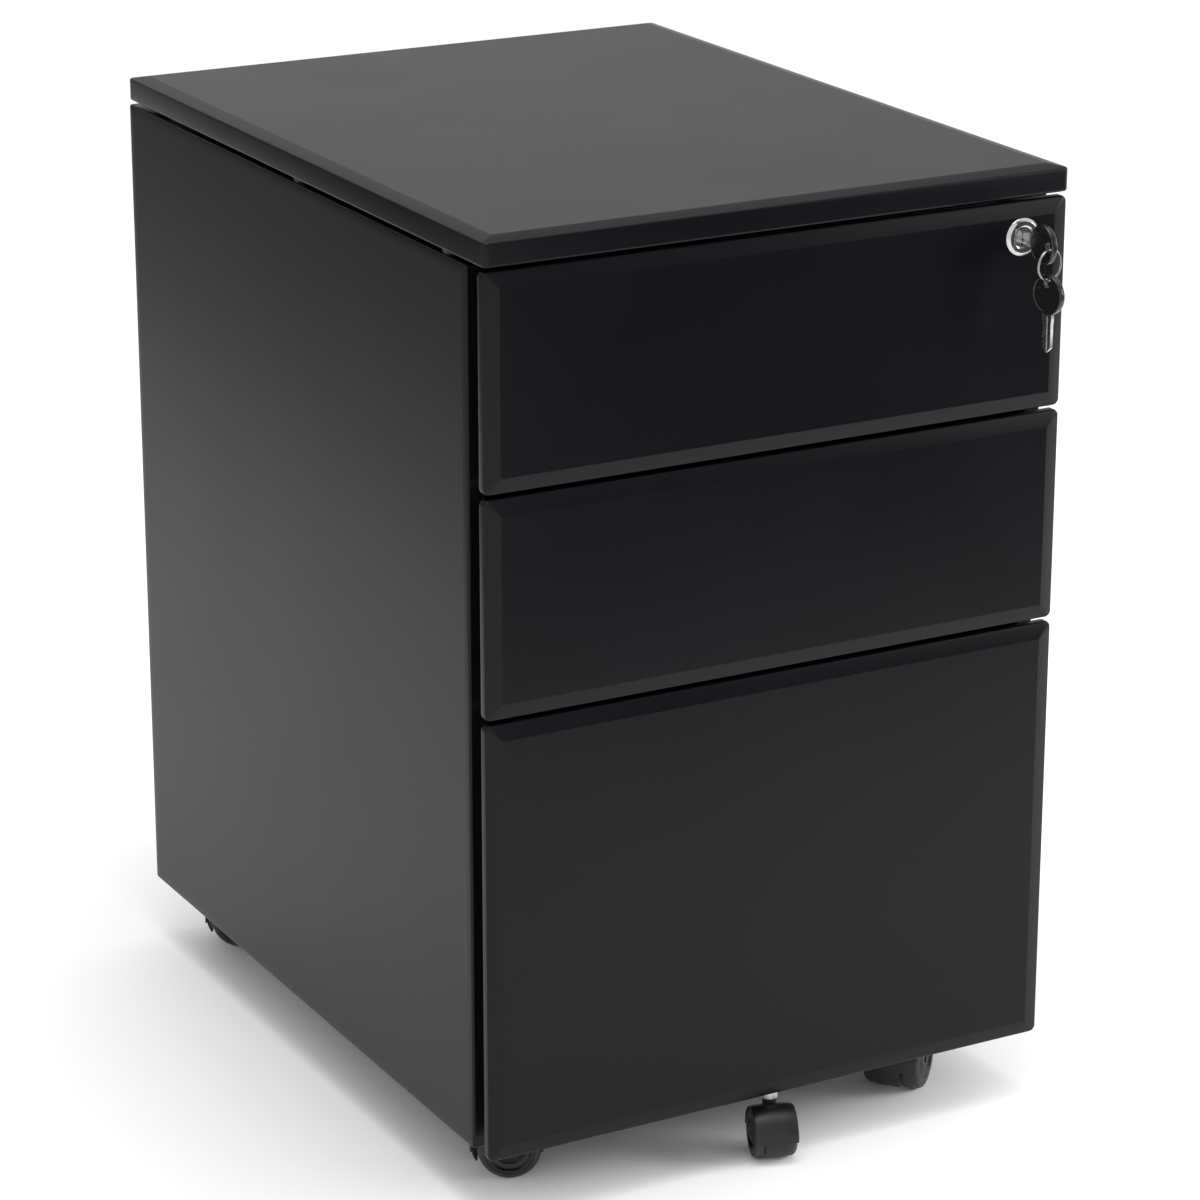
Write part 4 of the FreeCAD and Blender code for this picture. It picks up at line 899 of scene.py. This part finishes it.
def wheel(name, letter, side, kind):
    """Dished hub and barrel-shaped tyre of one wheel."""
    sizes = CASTERS[kind]
    place, trail, radius = caster_frame(name)
    width = sizes["wheel_width"]
    tilt = Matrix.Rotation(-side * math.pi / 2, 4, "X")
    start = side * (sizes["spine"] / 2 + WHEEL_GAP)
    local = place @ Matrix.Translation((trail, start, radius)) @ tilt
    bore = AXLE + 0.05 * MM
    seat = radius - sizes["tyre"]
    soft = 0.16 * width
    body = f"{name}_wheel_{letter}"
    hub = round_off(
        [(bore, 0.3 * MM), (seat + 0.4 * MM, 0.3 * MM), (seat + 0.4 * MM, width - 0.5 * MM),
         (seat - 0.9 * MM, width), (seat - 2.2 * MM, width), (seat - 3.4 * MM, width - 1.6 * MM),
         (0.52 * radius, width - 2.4 * MM), (0.40 * radius, width - 1.3 * MM),
         (0.26 * radius, width - 0.2 * MM), (bore, width - 0.2 * MM)],
        (0.3 * MM, 0.3 * MM, 0.3 * MM, 0.4 * MM, 0.5 * MM, 0.8 * MM, 0.8 * MM, 0.5 * MM))
    bm = bmesh.new()
    lathe(bm, [(p.x, p.y) for p in hub], local)
    piece(f"{body}_hub", bm, "caster_plastic", body, body)
    tyre = round_off(
        [(seat, 0.2 * MM), (radius - 0.6 * MM, 0.2 * MM), (radius, soft),
         (radius, width / 2), (radius, width - 1.6 * soft), (radius - 1.6 * MM, width - 0.3 * MM),
         (seat, width - 0.3 * MM)],
        (0.4 * MM, 1.2 * MM, 0.3 * MM, 2.2 * MM, 0.8 * MM))
    bm = bmesh.new()
    lathe(bm, [(p.x, p.y) for p in tyre], local, 96)
    piece(f"{body}_tyre", bm, "caster_tread", body)


def casters():
    """Four corner casters and the smaller fifth one, each a hood and two wheels."""
    for name in ("front_left", "front_right", "rear_left", "rear_right", "fifth"):
        kind = "fifth" if name == "fifth" else "corner"
        hood(name, kind)
        wheel(name, "a", 1, kind)
        wheel(name, "b", -1, kind)


# ---------------------------------------------------------------- the CAD nodes that show


def finish_nodes():
    """Give every CAD node the finish of its slot, and the kept ones rounded edges."""
    slots = {part["node"]: part["material_slot"] for part in frame["record"]["subparts"]}
    for name, thing in frame["nodes"].items():
        finish = FINISHES[slots[name]]
        if thing.material_slots:
            for place in thing.material_slots:
                place.link = "OBJECT"
                place.material = finish
        else:
            thing.data.materials.append(finish)
        if name in EDGE_WIDTHS:
            soften(thing, EDGE_WIDTHS[name] * MM)


# ---------------------------------------------------------------- floor, light and camera


def floor():
    """A pale seamless floor with the faintest unevenness."""
    finish = Finish("pale_floor", IOR=1.4)
    clouds = finish.noise(0.5, 2.0)
    finish.colour(finish.blend(finish.spread(clouds, 0, 1), (0.93, 0.93, 0.93),
                               (0.95, 0.95, 0.95)))
    finish.roughness(finish.spread(clouds, 0.55, 0.65))
    bm = bmesh.new()
    half = 30
    corners = ((-half, -half, 0), (half, -half, 0), (half, half, 0), (-half, half, 0))
    bm.faces.new(ring_of(bm, corners))
    mesh = bpy.data.meshes.new("floor")
    bm.to_mesh(mesh)
    bm.free()
    mesh.materials.append(finish.material)
    made = bpy.data.objects.new("floor", mesh)
    bpy.context.scene.collection.objects.link(made)


def surroundings():
    """A pale studio, equally bright all round."""
    world = bpy.data.worlds.new("studio")
    world.use_nodes = True
    tree = world.node_tree
    background = tree.nodes["Background"]
    background.inputs["Color"].default_value = (1, 1, 1, 1)
    background.inputs["Strength"].default_value = 1.0
    bpy.context.scene.world = world


def softbox(name, place, target, size, power):
    """A soft rectangular light that looks at a target."""
    light = bpy.data.lights.new(name, "AREA")
    light.shape = "RECTANGLE"
    light.size, light.size_y = size
    light.energy = power
    made = bpy.data.objects.new(name, light)
    made.location = place
    aim = Vector(target) - Vector(place)
    made.rotation_euler = aim.to_track_quat("-Z", "Y").to_euler()
    bpy.context.scene.collection.objects.link(made)


def flag(name, corners, grey):
    """A dark screen that only shows in glossy reflections, as a studio's black flags do."""
    material = bpy.data.materials.new(name)
    material.use_nodes = True
    shader = material.node_tree.nodes["Principled BSDF"]
    shader.inputs["Base Color"].default_value = (grey, grey, grey, 1)
    shader.inputs["Roughness"].default_value = 1.0
    bm = bmesh.new()
    bm.faces.new(ring_of(bm, corners))
    mesh = bpy.data.meshes.new(name)
    bm.to_mesh(mesh)
    bm.free()
    mesh.materials.append(material)
    made = bpy.data.objects.new(name, mesh)
    made.visible_camera = False
    made.visible_diffuse = False
    made.visible_shadow = False
    made.visible_transmission = False
    bpy.context.scene.collection.objects.link(made)


def flags():
    """The screens that darken what the front, the side and the top reflect."""
    front = -1.0
    flag("front_flag", ((0.1, front, 0), (3.0, front, 0), (3.0, front, 1.8),
                        (0.1, front, 1.8)), 0.04)
    left = -0.8
    flag("left_flag", ((left, 0.4, 0), (left, 3.0, 0), (left, 3.0, 1.6),
                       (left, 0.4, 1.6)), 0.10)
    back = 3.5
    flag("back_flag", ((-3.0, back, 0.3), (6.0, back, 0.3), (6.0, back, 6.0),
                       (-3.0, back, 6.0)), 0.55)


def lights():
    """One big light over the cabinet and one from its front right."""
    softbox("overhead", (-0.2, -0.3, 3.2), (-0.1, -0.2, 0), (1.6, 1.6), 45)
    softbox("right", (2.3, -1.4, 1.0), (0.1, -0.25, 0), (1.4, 0.9), 50)


def camera():
    """A long lens, to the left of the front and above, turned by yaw, pitch and roll."""
    yaw = math.radians(CAMERA_YAW)
    pitch = math.radians(CAMERA_PITCH)
    roll = math.radians(CAMERA_ROLL)
    ahead = Vector((math.sin(yaw) * math.cos(pitch), math.cos(yaw) * math.cos(pitch),
                    -math.sin(pitch)))
    right = ahead.cross(Vector((0, 0, 1))).normalized()
    up = right.cross(ahead)
    rolled_right = math.cos(roll) * right + math.sin(roll) * up
    rolled_up = math.cos(roll) * up - math.sin(roll) * right
    turn = Matrix((rolled_right, rolled_up, -ahead)).transposed()
    data = bpy.data.cameras.new("camera")
    data.lens = CAMERA_LENS
    data.sensor_width = CAMERA_FILM
    made = bpy.data.objects.new("camera", data)
    made.matrix_world = Matrix.Translation(CAMERA_PLACE) @ turn.to_4x4()
    bpy.context.scene.collection.objects.link(made)
    bpy.context.scene.camera = made


# ---------------------------------------------------------------- build

cap()
side_panel("left", FACE_LEFT)
side_panel("right", FACE_RIGHT)
for number in (1, 2, 3):
    drawer_front(number)
    tray(number)
    slides(number)
lock_bezel()
keys()
casters()
finish_nodes()
floor()
surroundings()
lights()
flags()
camera()
bpy.context.scene.view_settings.view_transform = "Standard"
